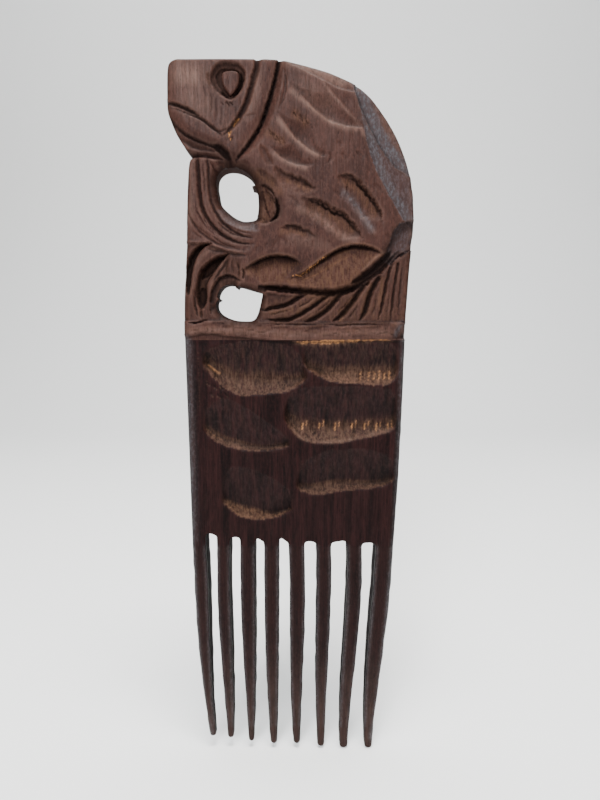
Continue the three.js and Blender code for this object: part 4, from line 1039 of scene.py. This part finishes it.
def back_depth(x, z, edge):
    """The plain back's depth in from its flat, at each place."""
    radius = np.where(z > ROOT, 1.1, 0.7)
    radius = radius + (TIP_RADIUS - radius) * smoothstep((22 - z) / 18)
    marks = 0.06 * (1 + noise(x * 0.5, z * 0.08, 31)) + 0.11 * (1 + noise(x * 0.17, z * 0.035, 33))
    return thin_teeth(worn_round(edge, radius), x, z) + marks * smoothstep(edge / 1.5)


def back_rub(x, z, edge):
    """How rubbed the back is: a little, along its edges."""
    handled = np.exp(-(edge / 1.5) ** 2) * (0.6 + 0.4 * noise(x * 0.5, z * 0.2, 34))
    return handled * np.where(z > LEDGE_LOW, 0.5, 0.2)


def shelter(x, z):
    """How shut in the walls are, which sets their painted shade: fully in the holes and the slots, hardly
    round the outside.
    """
    left, right = (tooth_shape(tooth, np.clip(z / ROOT, 0, 1))[0] for tooth in (TEETH[0], TEETH[-1]))
    slot = (z < ROOT + 4) & (x > left) & (x < right)
    return np.where(by_holes(x, z) | slot, 1.0, OUTER_SHELTER)


# ---- the net ----
def tree_of(places):
    """A tree that finds the nearest of these places."""
    tree = kdtree.KDTree(len(places))
    for number, (x, z) in enumerate(places):
        tree.insert((x, z, 0), number)
    tree.balance()
    return tree


def gap(tree, x, z):
    """The distance to the nearest place in a tree."""
    return tree.find((x, z, 0))[2]


def rim_tree(loops):
    """Closely spaced places along the outline and the holes, to measure the distance to them."""
    dense = []
    for loop in loops:
        ahead = np.roll(loop, -1, axis=0)
        for share in np.arange(0, 1, 0.125):
            dense.extend(loop + (ahead - loop) * share)
    return tree_of(dense)


def trace_loops(loops):
    """The loops' places in one list, and the edges round each loop."""
    places, edges = [], []
    for loop in loops:
        first, count = len(places), len(loop)
        places.extend(map(tuple, loop))
        edges.extend((first + i, first + (i + 1) % count) for i in range(count))
    return places, edges


def trace_seams(places, edges, seams):
    """Adds the borders between zones, each joined to the outline or to the borders it meets."""
    joins, too_close = 0.5, SEAM_GAP
    outline = tree_of(places)
    corners = {}
    for line in seams.values():
        points = spline(line, CREST_STEP if len(line) > 2 else TOOTH_STEP)
        chain = []
        for k, (x, z) in enumerate(points):
            key = (round(float(x), 4), round(float(z), 4))
            at_end = k in (0, len(points) - 1)
            if at_end and key in corners:
                chain.append(corners[key])
                continue
            _, nearest, away = outline.find((x, z, 0))
            if at_end and away < joins:
                chain.append(nearest)
                continue
            if away < too_close:
                continue
            if at_end:
                corners[key] = len(places)
            chain.append(len(places))
            places.append((float(x), float(z)))
        edges.extend(zip(chain, chain[1:]))


def add_rings(places, loops, rings, rim, taken):
    """Adds rows of places just inside the outline and round the holes."""
    slack = 0.93
    for loop in loops:
        along = np.roll(loop, -1, axis=0) - np.roll(loop, 1, axis=0)
        along /= np.hypot(along[:, 0], along[:, 1])[:, None]
        inward = np.column_stack([along[:, 1], -along[:, 0]])
        for ring in rings:
            for (x, z), (nx, nz) in zip(loop, inward):
                px, pz = x + nx * ring, z + nz * ring
                if gap(rim, px, pz) > ring * slack and gap(taken, px, pz) > min(ring, SEAM_GAP) * slack:
                    places.append((px, pz))


def grid_rows(x_range, z_range, step):
    """A triangular grid's rows: each one's number, the places across it and its height."""
    row, z = 0, z_range[0]
    while z < z_range[1]:
        yield row, np.arange(x_range[0] + (row % 2) * step / 2, x_range[1], step), z
        z += step * 0.866
        row += 1


def add_grid(places, spacing, start, rim, taken):
    """Fills the inside with a slightly uneven grid, from a distance in from the outline."""
    rng = np.random.default_rng(7)
    for x_range, z_range, step in spacing:
        for _, across, height in grid_rows(x_range, z_range, step):
            shift_x = rng.uniform(-0.12, 0.12, len(across))
            shift_z = rng.uniform(-0.12, 0.12, len(across))
            for x, dx, dz in zip(across, shift_x, shift_z):
                px, pz = float(x + dx * step), float(height + dz * step)
                if gap(rim, px, pz) > start + step * 0.6 and gap(taken, px, pz) > step * 0.6:
                    places.append((px, pz))


class Net:
    """Triangles over a region: places (n, 2), triangles (m, 3), and the number of each triangle's zone."""

    def __init__(self, places, edges, seeds):
        out = delaunay_2d_cdt([Vector(place) for place in places], edges, [], 0, 1e-5)
        self.places = np.array([(p.x, p.y) for p in out[0]])
        self.triangles = np.array(out[2])
        self.lost = len(places) - len(self.places)
        self.zone = np.full(len(self.triangles), -1)
        borders = {tuple(sorted(edge)) for edge, source in zip(out[1], out[4]) if source}
        joined = self.neighbours(borders)
        for number, seed in enumerate(seeds):
            self.flood(number, self.triangle_at(*seed), joined)
        self.trim()

    def neighbours(self, borders):
        """The triangles on the other side of each triangle's edges, apart from borders."""
        waiting = {}
        joined = [[] for _ in range(len(self.triangles))]
        for number, (a, b, c) in enumerate(self.triangles.tolist()):
            for one, other in ((a, b), (b, c), (c, a)):
                key = (min(one, other), max(one, other))
                if key in borders:
                    continue
                twin = waiting.pop(key, None)
                if twin is None:
                    waiting[key] = number
                else:
                    joined[number].append(twin)
                    joined[twin].append(number)
        return joined

    def triangle_at(self, x, z):
        a, b, c = (self.places[self.triangles[:, k]] for k in range(3))
        turns = [(q[:, 0] - p[:, 0]) * (z - p[:, 1]) - (q[:, 1] - p[:, 1]) * (x - p[:, 0])
                 for p, q in ((a, b), (b, c), (c, a))]
        within = np.all([turn >= 0 for turn in turns], axis=0) | np.all([turn <= 0 for turn in turns], axis=0)
        return int(np.nonzero(within)[0][0])

    def flood(self, number, first, joined):
        """Marks a zone out from its own place, up to the borders."""
        if self.zone[first] != -1:
            raise RuntimeError(f"zones {self.zone[first]} and {number} run together")
        stack = [first]
        self.zone[first] = number
        while stack:
            for other in joined[stack.pop()]:
                if self.zone[other] == -1:
                    self.zone[other] = number
                    stack.append(other)

    def trim(self):
        """Drops what lies outside every zone, and turns the triangles all one way."""
        keep = self.zone >= 0
        self.triangles, self.zone = self.triangles[keep], self.zone[keep]
        corner = self.places[self.triangles]
        flip = np.cross(corner[:, 1] - corner[:, 0], corner[:, 2] - corner[:, 0]) < 0
        self.triangles[flip] = self.triangles[flip][:, ::-1]
        used, index = np.unique(self.triangles, return_inverse=True)
        self.places = self.places[used]
        self.triangles = index.reshape(self.triangles.shape)

    def borders(self):
        """Directed edges round each zone: (a, b, zone, is it on the outline)."""
        owner = {}
        for (a, b, c), number in zip(self.triangles.tolist(), self.zone.tolist()):
            for edge in ((a, b), (b, c), (c, a)):
                owner[edge] = number
        return [(a, b, number, (b, a) not in owner) for (a, b), number in owner.items()
                if owner.get((b, a), -1) != number]


def face_net(loops, seams, spacing, rings, rim, seeds):
    """The fine net of the carved face."""
    places, edges = trace_loops(loops)
    trace_seams(places, edges, seams)
    taken = tree_of(places)
    add_rings(places, loops, rings, rim, taken)
    add_grid(places, spacing, max(rings), rim, taken)
    return Net(places, edges, seeds)


def back_net(face, edges, spacing, rim, seeds):
    """The back's coarser net on the same borders, and each of the face's border places' number in it."""
    border = sorted({v for a, b, _, _ in edges for v in (a, b)})
    twins = {v: number for number, v in enumerate(border)}
    pairs = {tuple(sorted((twins[a], twins[b]))) for a, b, _, _ in edges}
    spots = [tuple(face.places[v]) for v in border]
    taken = tree_of(spots)
    for x_range, z_range, step in spacing:
        for row, across, z in grid_rows(x_range, z_range, step):
            for x in across:
                away = gap(rim, x, z)
                kept = away < 2.2 or (row % 3 == 0 and int(round(x / step)) % 3 == 0)
                if kept and away > 0.3 and gap(taken, x, z) > min(0.35, step * 0.5):
                    spots.append((float(x), float(z)))
    net = Net(spots, sorted(pairs), seeds)
    if net.lost:
        raise RuntimeError("the back's net lost a point")
    return net, twins


# ---- the surface ----
Surface = namedtuple("Surface", "points masks normals skin hidden")


def outward(places, edges):
    """The direction out of the wood at each place on the outline or a hole."""
    total = {}
    for a, b, _, is_rim in edges:
        if is_rim:
            run = places[b] - places[a]
            out = np.array([run[1], -run[0]]) / max(np.hypot(*run), 1e-9)
            for v in (a, b):
                total[v] = total.get(v, 0) + out
    return {v: way / max(np.hypot(*way), 1e-9) for v, way in total.items()}


def wall_columns(points, twins, first_back, out):
    """Runs a column of places down the wall from each of the face's border places to its twin."""
    extra, columns = [], {}
    for v, twin in twins.items():
        top, low = points[v], points[first_back + twin]
        push = out.get(v, np.zeros(2))
        column = [v]
        for k in range(1, WALL_ROWS + 1):
            spot = top + (low - top) * (k / (WALL_ROWS + 1))
            across, along = np.array([spot[0] * 1.1 + 50]), np.array([spot[2] * 0.5 + spot[1] * 0.9])
            sway = 0.07 * noise(across, along, 61)[0]
            spot[0] -= push[0] * abs(sway)
            spot[2] -= push[1] * abs(sway)
            column.append(len(points) + len(extra))
            extra.append(spot)
        columns[v] = [*column, first_back + twin]
    return np.vstack([points, extra]), columns


def whole_masks(masks, points, back, back_edge):
    """The face's masks carried over the back and the walls, with those places' own."""
    first_back, beyond = len(masks["raw"]), points[len(masks["raw"]):]
    first_wall = first_back + len(back.places)
    walls = points[first_wall:]
    found = {key: np.concatenate([values, np.zeros(len(beyond))]) for key, values in masks.items()}
    # walls are darkened by how shut in they are: painted shade
    shut = shelter(walls[:, 0], walls[:, 2])
    found["wall"] = np.concatenate([np.zeros(first_wall), shut])
    # away from the carved face the crest's colour runs into the panel's
    blend = smoothstep(1 - np.abs(beyond[:, 2] - LEDGE_LOW) / BLEND_REACH)
    found["blend"] = np.concatenate([np.zeros(first_back), blend])
    worn_and_lit = back_rub(back.places[:, 0], back.places[:, 1], back_edge)
    found["rub"][first_back:] = np.concatenate([worn_and_lit, np.where(shut < 1, 0.25, 0)])
    return found


def wear(points, tri):
    """Ridges, valleys and broad hollows of the face, from each place's height against those round it. The
    hollows get painted shade, the ridges wear and painted highlight.
    """
    pairs = np.vstack([tri[:, [0, 1]], tri[:, [1, 2]], tri[:, [2, 0]]])
    one, other = np.concatenate([pairs[:, 0], pairs[:, 1]]), np.concatenate([pairs[:, 1], pairs[:, 0]])
    total = len(points)
    count = np.bincount(one, minlength=total)
    on = count > 0
    depth = np.where(on, points[:, 1], 0)

    def spread(values, rounds):
        for _ in range(rounds):
            values = np.bincount(one, weights=values[other], minlength=total) / np.maximum(count, 1)
        return values

    close = spread(depth, 3)
    wide = spread(close, 45)
    return {
        "ridge_wear_and_highlight": np.clip((close - depth) / 0.12, 0, 1) * on,
        "valley": np.clip((depth - close) / 0.16, 0, 1) * on,
        "painted_hollow_shade": np.clip((depth - wide) / 0.7, 0, 1) * on,
    }


def zone_faces(face, back, first_back, edges, columns, count):
    """Each zone's outer faces, and the hidden ones where it meets its neighbours."""
    walls = {(number, is_rim): [] for number in range(count) for is_rim in (True, False)}
    for a, b, number, is_rim in edges:
        left, right = columns[a], columns[b]
        for k in range(len(left) - 1):
            walls[number, is_rim].append((left[k], left[k + 1], right[k + 1]))
            walls[number, is_rim].append((left[k], right[k + 1], right[k]))
    rear = back.triangles[:, ::-1] + first_back
    blocks = {key: np.array(faces, int).reshape(-1, 3) for key, faces in walls.items()}
    skin = [np.vstack([face.triangles[face.zone == n], rear[back.zone == n], blocks[n, True]])
            for n in range(count)]
    return skin, [blocks[n, False] for n in range(count)]


def skin_normals(points, faces):
    """Each place's normal, from all the outer faces round it."""
    corner = points[faces]
    face = np.cross(corner[:, 1] - corner[:, 0], corner[:, 2] - corner[:, 0])
    total = np.zeros_like(points)
    for k in range(3):
        np.add.at(total, faces[:, k], face)
    length = np.linalg.norm(total, axis=1)
    return total / np.maximum(length, 1e-12)[:, None]


def build(loops, seams, seeds, spacing, rings, front, rear, rear_spacing):
    """A carved body as one surface, with the faces that make each of its zones a closed piece."""
    rim = rim_tree(loops)
    face = face_net(loops, seams, spacing, rings, rim, seeds)
    edges = face.borders()
    back, twins = back_net(face, edges, rear_spacing, rim, seeds)
    face_edge, back_edge = (np.array([gap(rim, x, z) for x, z in net.places]) for net in (face, back))
    depth, masks = front(face.places[:, 0], face.places[:, 1], face_edge)
    back_y = THICK - rear(back.places[:, 0], back.places[:, 1], back_edge)
    points = np.vstack([
        np.column_stack([face.places[:, 0], depth, face.places[:, 1]]),
        np.column_stack([back.places[:, 0], back_y, back.places[:, 1]])])
    first_back = len(face.places)
    points, columns = wall_columns(points, twins, first_back, outward(face.places, edges))
    masks = whole_masks(masks, points, back, back_edge)
    masks.update(wear(points, face.triangles))
    skin, hidden = zone_faces(face, back, first_back, edges, columns, len(seeds))
    return Surface(points, masks, skin_normals(points, np.vstack(skin)), skin, hidden)


def to_metres(points):
    """Comb millimetres to metres in the frame."""
    return np.column_stack([
        MIDDLE + points[:, 0] * MM, FRAME_LOW.y + points[:, 1] * MM, FRAME_LOW.z + points[:, 2] * MM])


def unit_faces(points, faces):
    """The flat normal of each face."""
    corner = points[faces]
    normal = np.cross(corner[:, 1] - corner[:, 0], corner[:, 2] - corner[:, 0])
    return normal / np.maximum(np.linalg.norm(normal, axis=1), 1e-12)[:, None]


def piece(zone, slot, surface, number):
    """Makes one zone's closed mesh, shaded as part of the whole surface, hangs it under the root body and
    hides the CAD part of that name.
    """
    skin, hidden = surface.skin[number], surface.hidden[number]
    faces = np.vstack([skin, hidden])
    used, index = np.unique(faces, return_inverse=True)
    index = index.reshape(faces.shape)
    name = f"{zone}_wood"
    mesh = bpy.data.meshes.new(name)
    mesh.vertices.add(len(used))
    mesh.vertices.foreach_set("co", to_metres(surface.points[used]).ravel())
    mesh.loops.add(index.size)
    mesh.loops.foreach_set("vertex_index", index.ravel().astype(np.int32))
    mesh.polygons.add(len(index))
    mesh.polygons.foreach_set("loop_start", np.arange(0, index.size, 3, dtype=np.int32))
    mesh.polygons.foreach_set("loop_total", np.full(len(index), 3, dtype=np.int32))
    mesh.update(calc_edges=True)
    for key, values in surface.masks.items():
        layer = mesh.attributes.new(key, "FLOAT", "POINT")
        layer.data.foreach_set("value", values[used].astype(np.float32))
    mesh.polygons.foreach_set("use_smooth", np.ones(len(index), bool))
    normals = surface.normals[faces.ravel()]
    normals[skin.size:] = np.repeat(unit_faces(surface.points, hidden), 3, axis=0)
    mesh.normals_split_custom_set(normals.tolist())
    mesh.materials.append(FINISH[slot])
    obj = bpy.data.objects.new(name, mesh)
    bpy.context.scene.collection.objects.link(obj)
    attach(obj, "root")
    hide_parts(zone)


# ---- materials ----
class Nodes:
    """Makes a material's nodes. Its patterns lie in the object's own coordinates, shifted by a seed."""

    def __init__(self, tree, seed):
        self.tree, self.seed = tree, seed
        self.coords = tree.nodes.new("ShaderNodeTexCoord").outputs["Object"]

    def set(self, socket, value):
        """Links a socket to another node's output, or gives it a plain number or colour."""
        if hasattr(value, "links"):
            self.tree.links.new(value, socket)
        elif isinstance(value, tuple):
            socket.default_value = (*value, 1)
        else:
            socket.default_value = value

    def noise(self, scale, detail, rough, own):
        mapping = self.tree.nodes.new("ShaderNodeMapping")
        mapping.inputs["Scale"].default_value = scale
        mapping.inputs["Location"].default_value = [self.seed * own * shift for shift in (0.37, 0.11, 0.23)]
        self.set(mapping.inputs["Vector"], self.coords)
        texture = self.tree.nodes.new("ShaderNodeTexNoise")
        texture.inputs["Scale"].default_value = 1.0
        texture.inputs["Detail"].default_value = detail
        texture.inputs["Roughness"].default_value = rough
        self.set(texture.inputs["Vector"], mapping.outputs["Vector"])
        return texture.outputs["Fac"]

    def ramp(self, value, low, high):
        """Rises smoothly from 0 to 1 as the value goes from low to high."""
        ramp = self.tree.nodes.new("ShaderNodeMapRange")
        ramp.interpolation_type = "SMOOTHSTEP"
        ramp.inputs["From Min"].default_value = low
        ramp.inputs["From Max"].default_value = high
        self.set(ramp.inputs["Value"], value)
        return ramp.outputs["Result"]

    def pattern(self, scale, detail, low, high, rough=0.55, own=1):
        """Noise with that many cycles to the metre each way, spread out between its low and high values."""
        return self.ramp(self.noise(scale, detail, rough, own), low, high)

    def maths(self, operation, a, b):
        node = self.tree.nodes.new("ShaderNodeMath")
        node.operation = operation
        node.use_clamp = True
        self.set(node.inputs[0], a)
        self.set(node.inputs[1], b)
        return node.outputs["Value"]

    def times(self, a, b):
        return self.maths("MULTIPLY", a, b)

    def plus(self, a, b):
        return self.maths("ADD", a, b)

    def mix(self, factor, a, b):
        node = self.tree.nodes.new("ShaderNodeMix")
        node.data_type = "RGBA"
        for socket, value in zip((node.inputs[0], node.inputs[6], node.inputs[7]), (factor, a, b)):
            self.set(socket, value)
        return node.outputs[2]

    def mask(self, key):
        node = self.tree.nodes.new("ShaderNodeAttribute")
        node.attribute_name = key
        return node.outputs["Fac"]


def shade_of(colour, by):
    return tuple(part * by for part in colour)


def wood_patterns(n):
    """The grain at every size, from broad bands of colour down to pores."""
    return {
        "broad": n.pattern((75, 75, 26), 3, 0.32, 0.68),
        "patch": n.pattern((260, 260, 120), 4, 0.35, 0.7, rough=0.65),
        "streak": n.pattern((800, 800, 30), 4, 0.38, 0.62),
        "fine": n.pattern((2400, 2400, 160), 3, 0.35, 0.72),
        "pores": n.pattern((3600, 3600, 520), 2, 0.6, 0.7),
        "speck": n.pattern((1500, 1500, 900), 4, 0.44, 0.64, rough=0.65),
        "fibre": n.pattern((1900, 1900, 210), 3, 0.4, 0.64, rough=0.6),
    }


def shared_grain(n):
    """The dark grain of the back and walls round the ledge, the same whatever the finish."""
    streaks = n.pattern((500, 500, 26), 4, 0.3, 0.7, own=0)
    colour = n.mix(streaks, (0.0085, 0.0030, 0.0022), (0.0180, 0.0064, 0.0046))
    fine = n.pattern((2400, 2400, 160), 3, 0.35, 0.72, own=0)
    return n.mix(n.times(fine, 0.4), colour, (0.004, 0.0015, 0.0011))


def wood_colour(n, grain, mask, tone):
    """Oiled dark wood: grain first, then wear that is also painted highlight, painted grey reflection,
    painted shade in the hollows, raw fibres partly painted lighter as lit, and over all of it stain, darker
    valleys and painted shade in the cuts and on the walls.
    """
    dark, brown, tan, streaks = tone["dark"], tone["brown"], tone["tan"], tone["streaks"]
    patch, speck, fibre = grain["patch"], grain["speck"], grain["fibre"]

    colour = n.mix(grain["broad"], dark, brown)
    colour = n.mix(n.times(patch, 0.3), colour, shade_of(brown, 1.6))
    pale = n.plus(n.times(speck, 0.3), n.plus(n.times(patch, 0.25), 0.4))
    # wear, also a painted highlight
    colour = n.mix(n.times(mask["rub"], pale), colour, tone["worn_and_lit"])
    colour = n.mix(n.times(speck, 0.3 + 0.35 * streaks), colour, shade_of(brown, 2.1))
    colour = n.mix(n.times(grain["streak"], streaks), colour, shade_of(brown, 1 + 2 * streaks))
    colour = n.mix(n.times(grain["fine"], 0.1 + 0.5 * streaks), colour, shade_of(dark, 0.5))
    colour = n.mix(n.times(grain["pores"], 0.6), colour, shade_of(dark, 0.3))
    # painted grey reflection, lighter ridges as wear and painted highlight, and painted shade in the hollows
    colour = n.mix(n.times(mask["sheen"], n.plus(n.times(speck, 0.5), 0.3)), colour, tone["reflection_grey"])
    colour = n.mix(n.times(mask["ridge_wear_and_highlight"], n.plus(n.times(patch, 0.25), 0.12)), colour, tone["edge"])
    colour = n.mix(n.times(mask["painted_hollow_shade"], 0.34), colour, shade_of(dark, 0.5))

    loose = n.plus(n.times(fibre, 0.35), n.times(speck, 0.3))
    slope = n.plus(loose, n.plus(n.times(patch, 0.3), 0.2))
    colour = n.mix(n.times(mask["raw"], slope), colour, tan)
    colour = n.mix(n.times(mask["torn"], n.times(fibre, 0.5)), colour, shade_of(tan, 0.8))
    flecks = n.times(n.ramp(mask["raw"], 0.55, 1.0), n.plus(n.times(speck, 0.6), 0.35))
    colour = n.mix(flecks, colour, tone["raw"])

    # darker in valleys, in stained cuts that also carry painted shade, and on walls as painted shade
    for key, amount, depth in (("valley", 0.55, 0.25), ("stain", 0.85, 0.12), ("wall", 0.5, 0.5)):
        colour = n.mix(n.times(mask[key], amount), colour, shade_of(dark, depth))
    return n.mix(mask["blend"], colour, shared_grain(n))


def wood_roughness(n, grain, mask, tone):
    """Raw wood, stained cuts and walls are duller than the oiled face."""
    rough = n.plus(n.times(grain["fine"], 0.12), tone["roughness"])
    rough = n.plus(rough, n.times(n.plus(mask["raw"], mask["torn"]), 0.2))
    return n.plus(rough, n.times(n.plus(mask["stain"], mask["wall"]), 0.4))


def wood_height(n, grain, mask):
    """Fine grain and fibres that stand up, and pores that sink in."""
    height = n.plus(n.times(grain["fine"], 0.5), n.times(grain["streak"], 0.25))
    height = n.plus(height, n.times(n.plus(mask["torn"], mask["raw"]), n.times(grain["fibre"], 0.6)))
    return n.maths("SUBTRACT", height, n.times(grain["pores"], 0.4))


def wood(name, tone):
    """A finish of oiled dark hardwood, its long grain up the comb."""
    material = bpy.data.materials.new(name)
    material.use_nodes = True
    tree = material.node_tree
    shader = tree.nodes["Principled BSDF"]
    n = Nodes(tree, tone["seed"])
    grain = wood_patterns(n)
    mask = {key: n.mask(key) for key in (*MASKS, "ridge_wear_and_highlight", "valley", "painted_hollow_shade", "wall", "blend")}
    n.set(shader.inputs["Base Color"], wood_colour(n, grain, mask, tone))
    n.set(shader.inputs["Roughness"], wood_roughness(n, grain, mask, tone))
    shader.inputs["IOR"].default_value = 1.5
    shader.inputs["Specular IOR Level"].default_value = 0.06

    bump = tree.nodes.new("ShaderNodeBump")
    bump.inputs["Strength"].default_value = 0.5
    bump.inputs["Distance"].default_value = 0.00012
    n.set(bump.inputs["Height"], wood_height(n, grain, mask))
    n.set(shader.inputs["Normal"], bump.outputs["Normal"])
    return material


# Colours: the grain's dark and brown, worn places that are also painted highlights, lighter ridges as wear
# and painted highlight, the tan of raw wood and its brightest flecks, and the painted grey reflection on
# pared faces. Streaks is how strongly the long grain shows. The crest's colours are set lighter than the
# panel's partly as painted sheen on its upper face.
TONES = {
    "crest_wood": {
        "dark": (0.0160, 0.0065, 0.0050), "brown": (0.0305, 0.0126, 0.0094), "worn_and_lit": (0.122, 0.072, 0.056),
        "edge": (0.088, 0.050, 0.039), "tan": (0.078, 0.037, 0.0205), "raw": (0.40, 0.17, 0.055),
        "reflection_grey": (0.052, 0.055, 0.062), "streaks": 0.2, "roughness": 0.42, "seed": 1,
    },
    "strokes_wood": {
        "dark": (0.0135, 0.0058, 0.0044), "brown": (0.026, 0.0112, 0.0084), "worn_and_lit": (0.093, 0.053, 0.040),
        "edge": (0.072, 0.037, 0.027), "tan": (0.071, 0.035, 0.0195), "raw": (0.36, 0.15, 0.05),
        "reflection_grey": (0.034, 0.034, 0.038), "streaks": 0.3, "roughness": 0.44, "seed": 2,
    },
    "panel_wood": {
        "dark": (0.0012, 0.0004, 0.0004), "brown": (0.0066, 0.0020, 0.0019), "worn_and_lit": (0.12, 0.074, 0.055),
        "edge": (0.017, 0.0068, 0.0055), "tan": (0.098, 0.053, 0.0345), "raw": (0.36, 0.165, 0.065),
        "reflection_grey": (0.064, 0.062, 0.065), "streaks": 0.85, "roughness": 0.42, "seed": 3,
    },
    "tooth_wood": {
        "dark": (0.0020, 0.0006, 0.0006), "brown": (0.0076, 0.0026, 0.0023), "worn_and_lit": (0.052, 0.031, 0.025),
        "edge": (0.024, 0.0125, 0.0108), "tan": (0.06, 0.033, 0.02), "raw": (0.12, 0.06, 0.035),
        "reflection_grey": (0.080, 0.077, 0.081), "streaks": 0.45, "roughness": 0.4, "seed": 3,
    },
}
FINISH = {slot: wood(f"oiled_{slot}", tone) for slot, tone in TONES.items()}


def slot_of(zone):
    if zone.startswith("tooth"):
        return "tooth_wood"
    return {"panel": "panel_wood", "reeds": "strokes_wood", "waves": "strokes_wood"}.get(zone, "crest_wood")


# ---- build ----
def build_board():
    """The whole board, parted into its zones."""
    fine_from = LEDGE_LOW - 2.2
    spacing = [
        (ACROSS, (fine_from, LENGTH + 1), CREST_STEP),
        (ACROSS, (ROOT + 0.2, fine_from), PANEL_STEP),
        ((-31, 31), (0, ROOT - 0.2), TOOTH_STEP),
    ]
    surface = build([board_outline(), UPPER_HOLE, LOWER_HOLE], SEAMS, ZONES.values(), spacing, RINGS,
                    front_depth, back_depth, [(ACROSS, (-0.5, LENGTH + 1), BACK_STEP)])
    for number, zone in enumerate(ZONES):
        piece(zone, slot_of(zone), surface, number)


def eye_depth(x, z, edge):
    """The eyeball's dome."""
    depth = 0.12 + worn_round(edge, 0.55) + 0.1 * np.maximum(1 - edge / 2, 0)
    depth = depth + 0.02 * noise(x * 4, z * 0.8, 51)
    return depth, {key: np.zeros(x.shape) for key in MASKS}


def build_eye():
    """The raised eye, shaped like a drop, standing in its socket."""
    outline = spline([
        (-16.3, 190.7), (-15, 191.9), (-14.1, 193.6), (-13.9, 195.4), (-14.3, 196.6), (-15.6, 197),
        (-17.2, 196.9), (-18.3, 196.4), (-18.6, 195), (-18.3, 193.4), (-17.4, 191.8)], 0.2, closed=True)
    room = ((-20, -12), (190, 198))
    surface = build([outline[::-1]], {}, [(-16.3, 194.5)], [(*room, 0.22)], (0.06, 0.16, 0.32), eye_depth,
                    lambda x, z, edge: np.full(x.shape, THICK - EYE_THICK), [(*room, 0.6)])
    piece("fish_eye", "crest_wood", surface, 0)


# ---- floor, light and camera ----
def flat_colour(name, colour, roughness):
    material = bpy.data.materials.new(name)
    material.use_nodes = True
    shader = material.node_tree.nodes["Principled BSDF"]
    shader.inputs["Base Color"].default_value = (*colour, 1)
    shader.inputs["Roughness"].default_value = roughness
    return material


def build_floor():
    """A pale floor that curves up into a pale wall behind the comb. Sizes are in metres."""
    wide, front, wall, tall, bend, bend_steps = 7.0, -7.0, 1.0, 2.2, 0.45, 12
    profile = [(front, 0.0)]
    for i in range(bend_steps + 1):
        angle = math.pi / 2 * i / bend_steps
        profile.append((wall - bend + bend * math.sin(angle), bend - bend * math.cos(angle)))
    profile.append((wall, tall))
    points = [(side * wide, y, z) for y, z in profile for side in (-1, 1)]
    faces = [(2 * i, 2 * i + 1, 2 * i + 3, 2 * i + 2) for i in range(len(profile) - 1)]
    mesh = bpy.data.meshes.new("floor")
    mesh.from_pydata(points, [], faces)
    mesh.polygons.foreach_set("use_smooth", np.ones(len(faces), bool))
    mesh.materials.append(flat_colour("pale_floor", (0.86, 0.86, 0.85), 0.8))
    floor = bpy.data.objects.new("floor", mesh)
    floor.location.z = FRAME_LOW.z
    bpy.context.scene.collection.objects.link(floor)


def add_light(name, at, size, power, colour, aim=(0, 0, 0.11), spread=math.pi):
    """A rectangular lamp. Places and sizes are in metres, power in watts."""
    light = bpy.data.lights.new(name, "AREA")
    light.shape = "RECTANGLE"
    light.size, light.size_y = size
    light.energy = power
    light.spread = spread
    light.color = colour
    obj = bpy.data.objects.new(name, light)
    obj.location = at
    obj.rotation_euler = (Vector(aim) - Vector(at)).to_track_quat("-Z", "Y").to_euler()
    bpy.context.scene.collection.objects.link(obj)


def build_lights():
    """One soft lamp above, a weaker one from the left, one on the wall behind, and a pale room all round."""
    add_light("top", (0.03, -0.22, 0.85), (0.42, 0.22), 13, (1, 0.985, 0.96))
    add_light("window", (-0.16, -0.75, 0.52), (0.4, 0.3), 2.2, (0.94, 0.97, 1), spread=1.2)
    add_light("wall", (0, 0.25, 1.3), (1.4, 0.5), 14, (0.96, 0.98, 1), aim=(0, 0.9, 0.2))
    world = bpy.data.worlds.new("pale_room")
    bpy.context.scene.world = world
    world.use_nodes = True
    background = world.node_tree.nodes["Background"]
    background.inputs["Color"].default_value = (0.93, 0.95, 0.97, 1)
    background.inputs["Strength"].default_value = 0.32


def build_camera():
    """A phone's usual lens, a little above the middle of the crest and tipped slightly down."""
    across, away, height, tilt = 2.2, 161.7, 128.3, 83.27
    camera = bpy.data.cameras.new("camera")
    camera.lens = 26
    camera.sensor_width = 36
    camera.clip_start = 0.01
    obj = bpy.data.objects.new("camera", camera)
    obj.location = (MIDDLE + across * MM, FRAME_LOW.y - away * MM, FRAME_LOW.z + height * MM)
    obj.rotation_euler = (math.radians(tilt), 0, 0)
    bpy.context.scene.collection.objects.link(obj)
    bpy.context.scene.camera = obj


build_board()
build_eye()
build_floor()
build_lights()
build_camera()
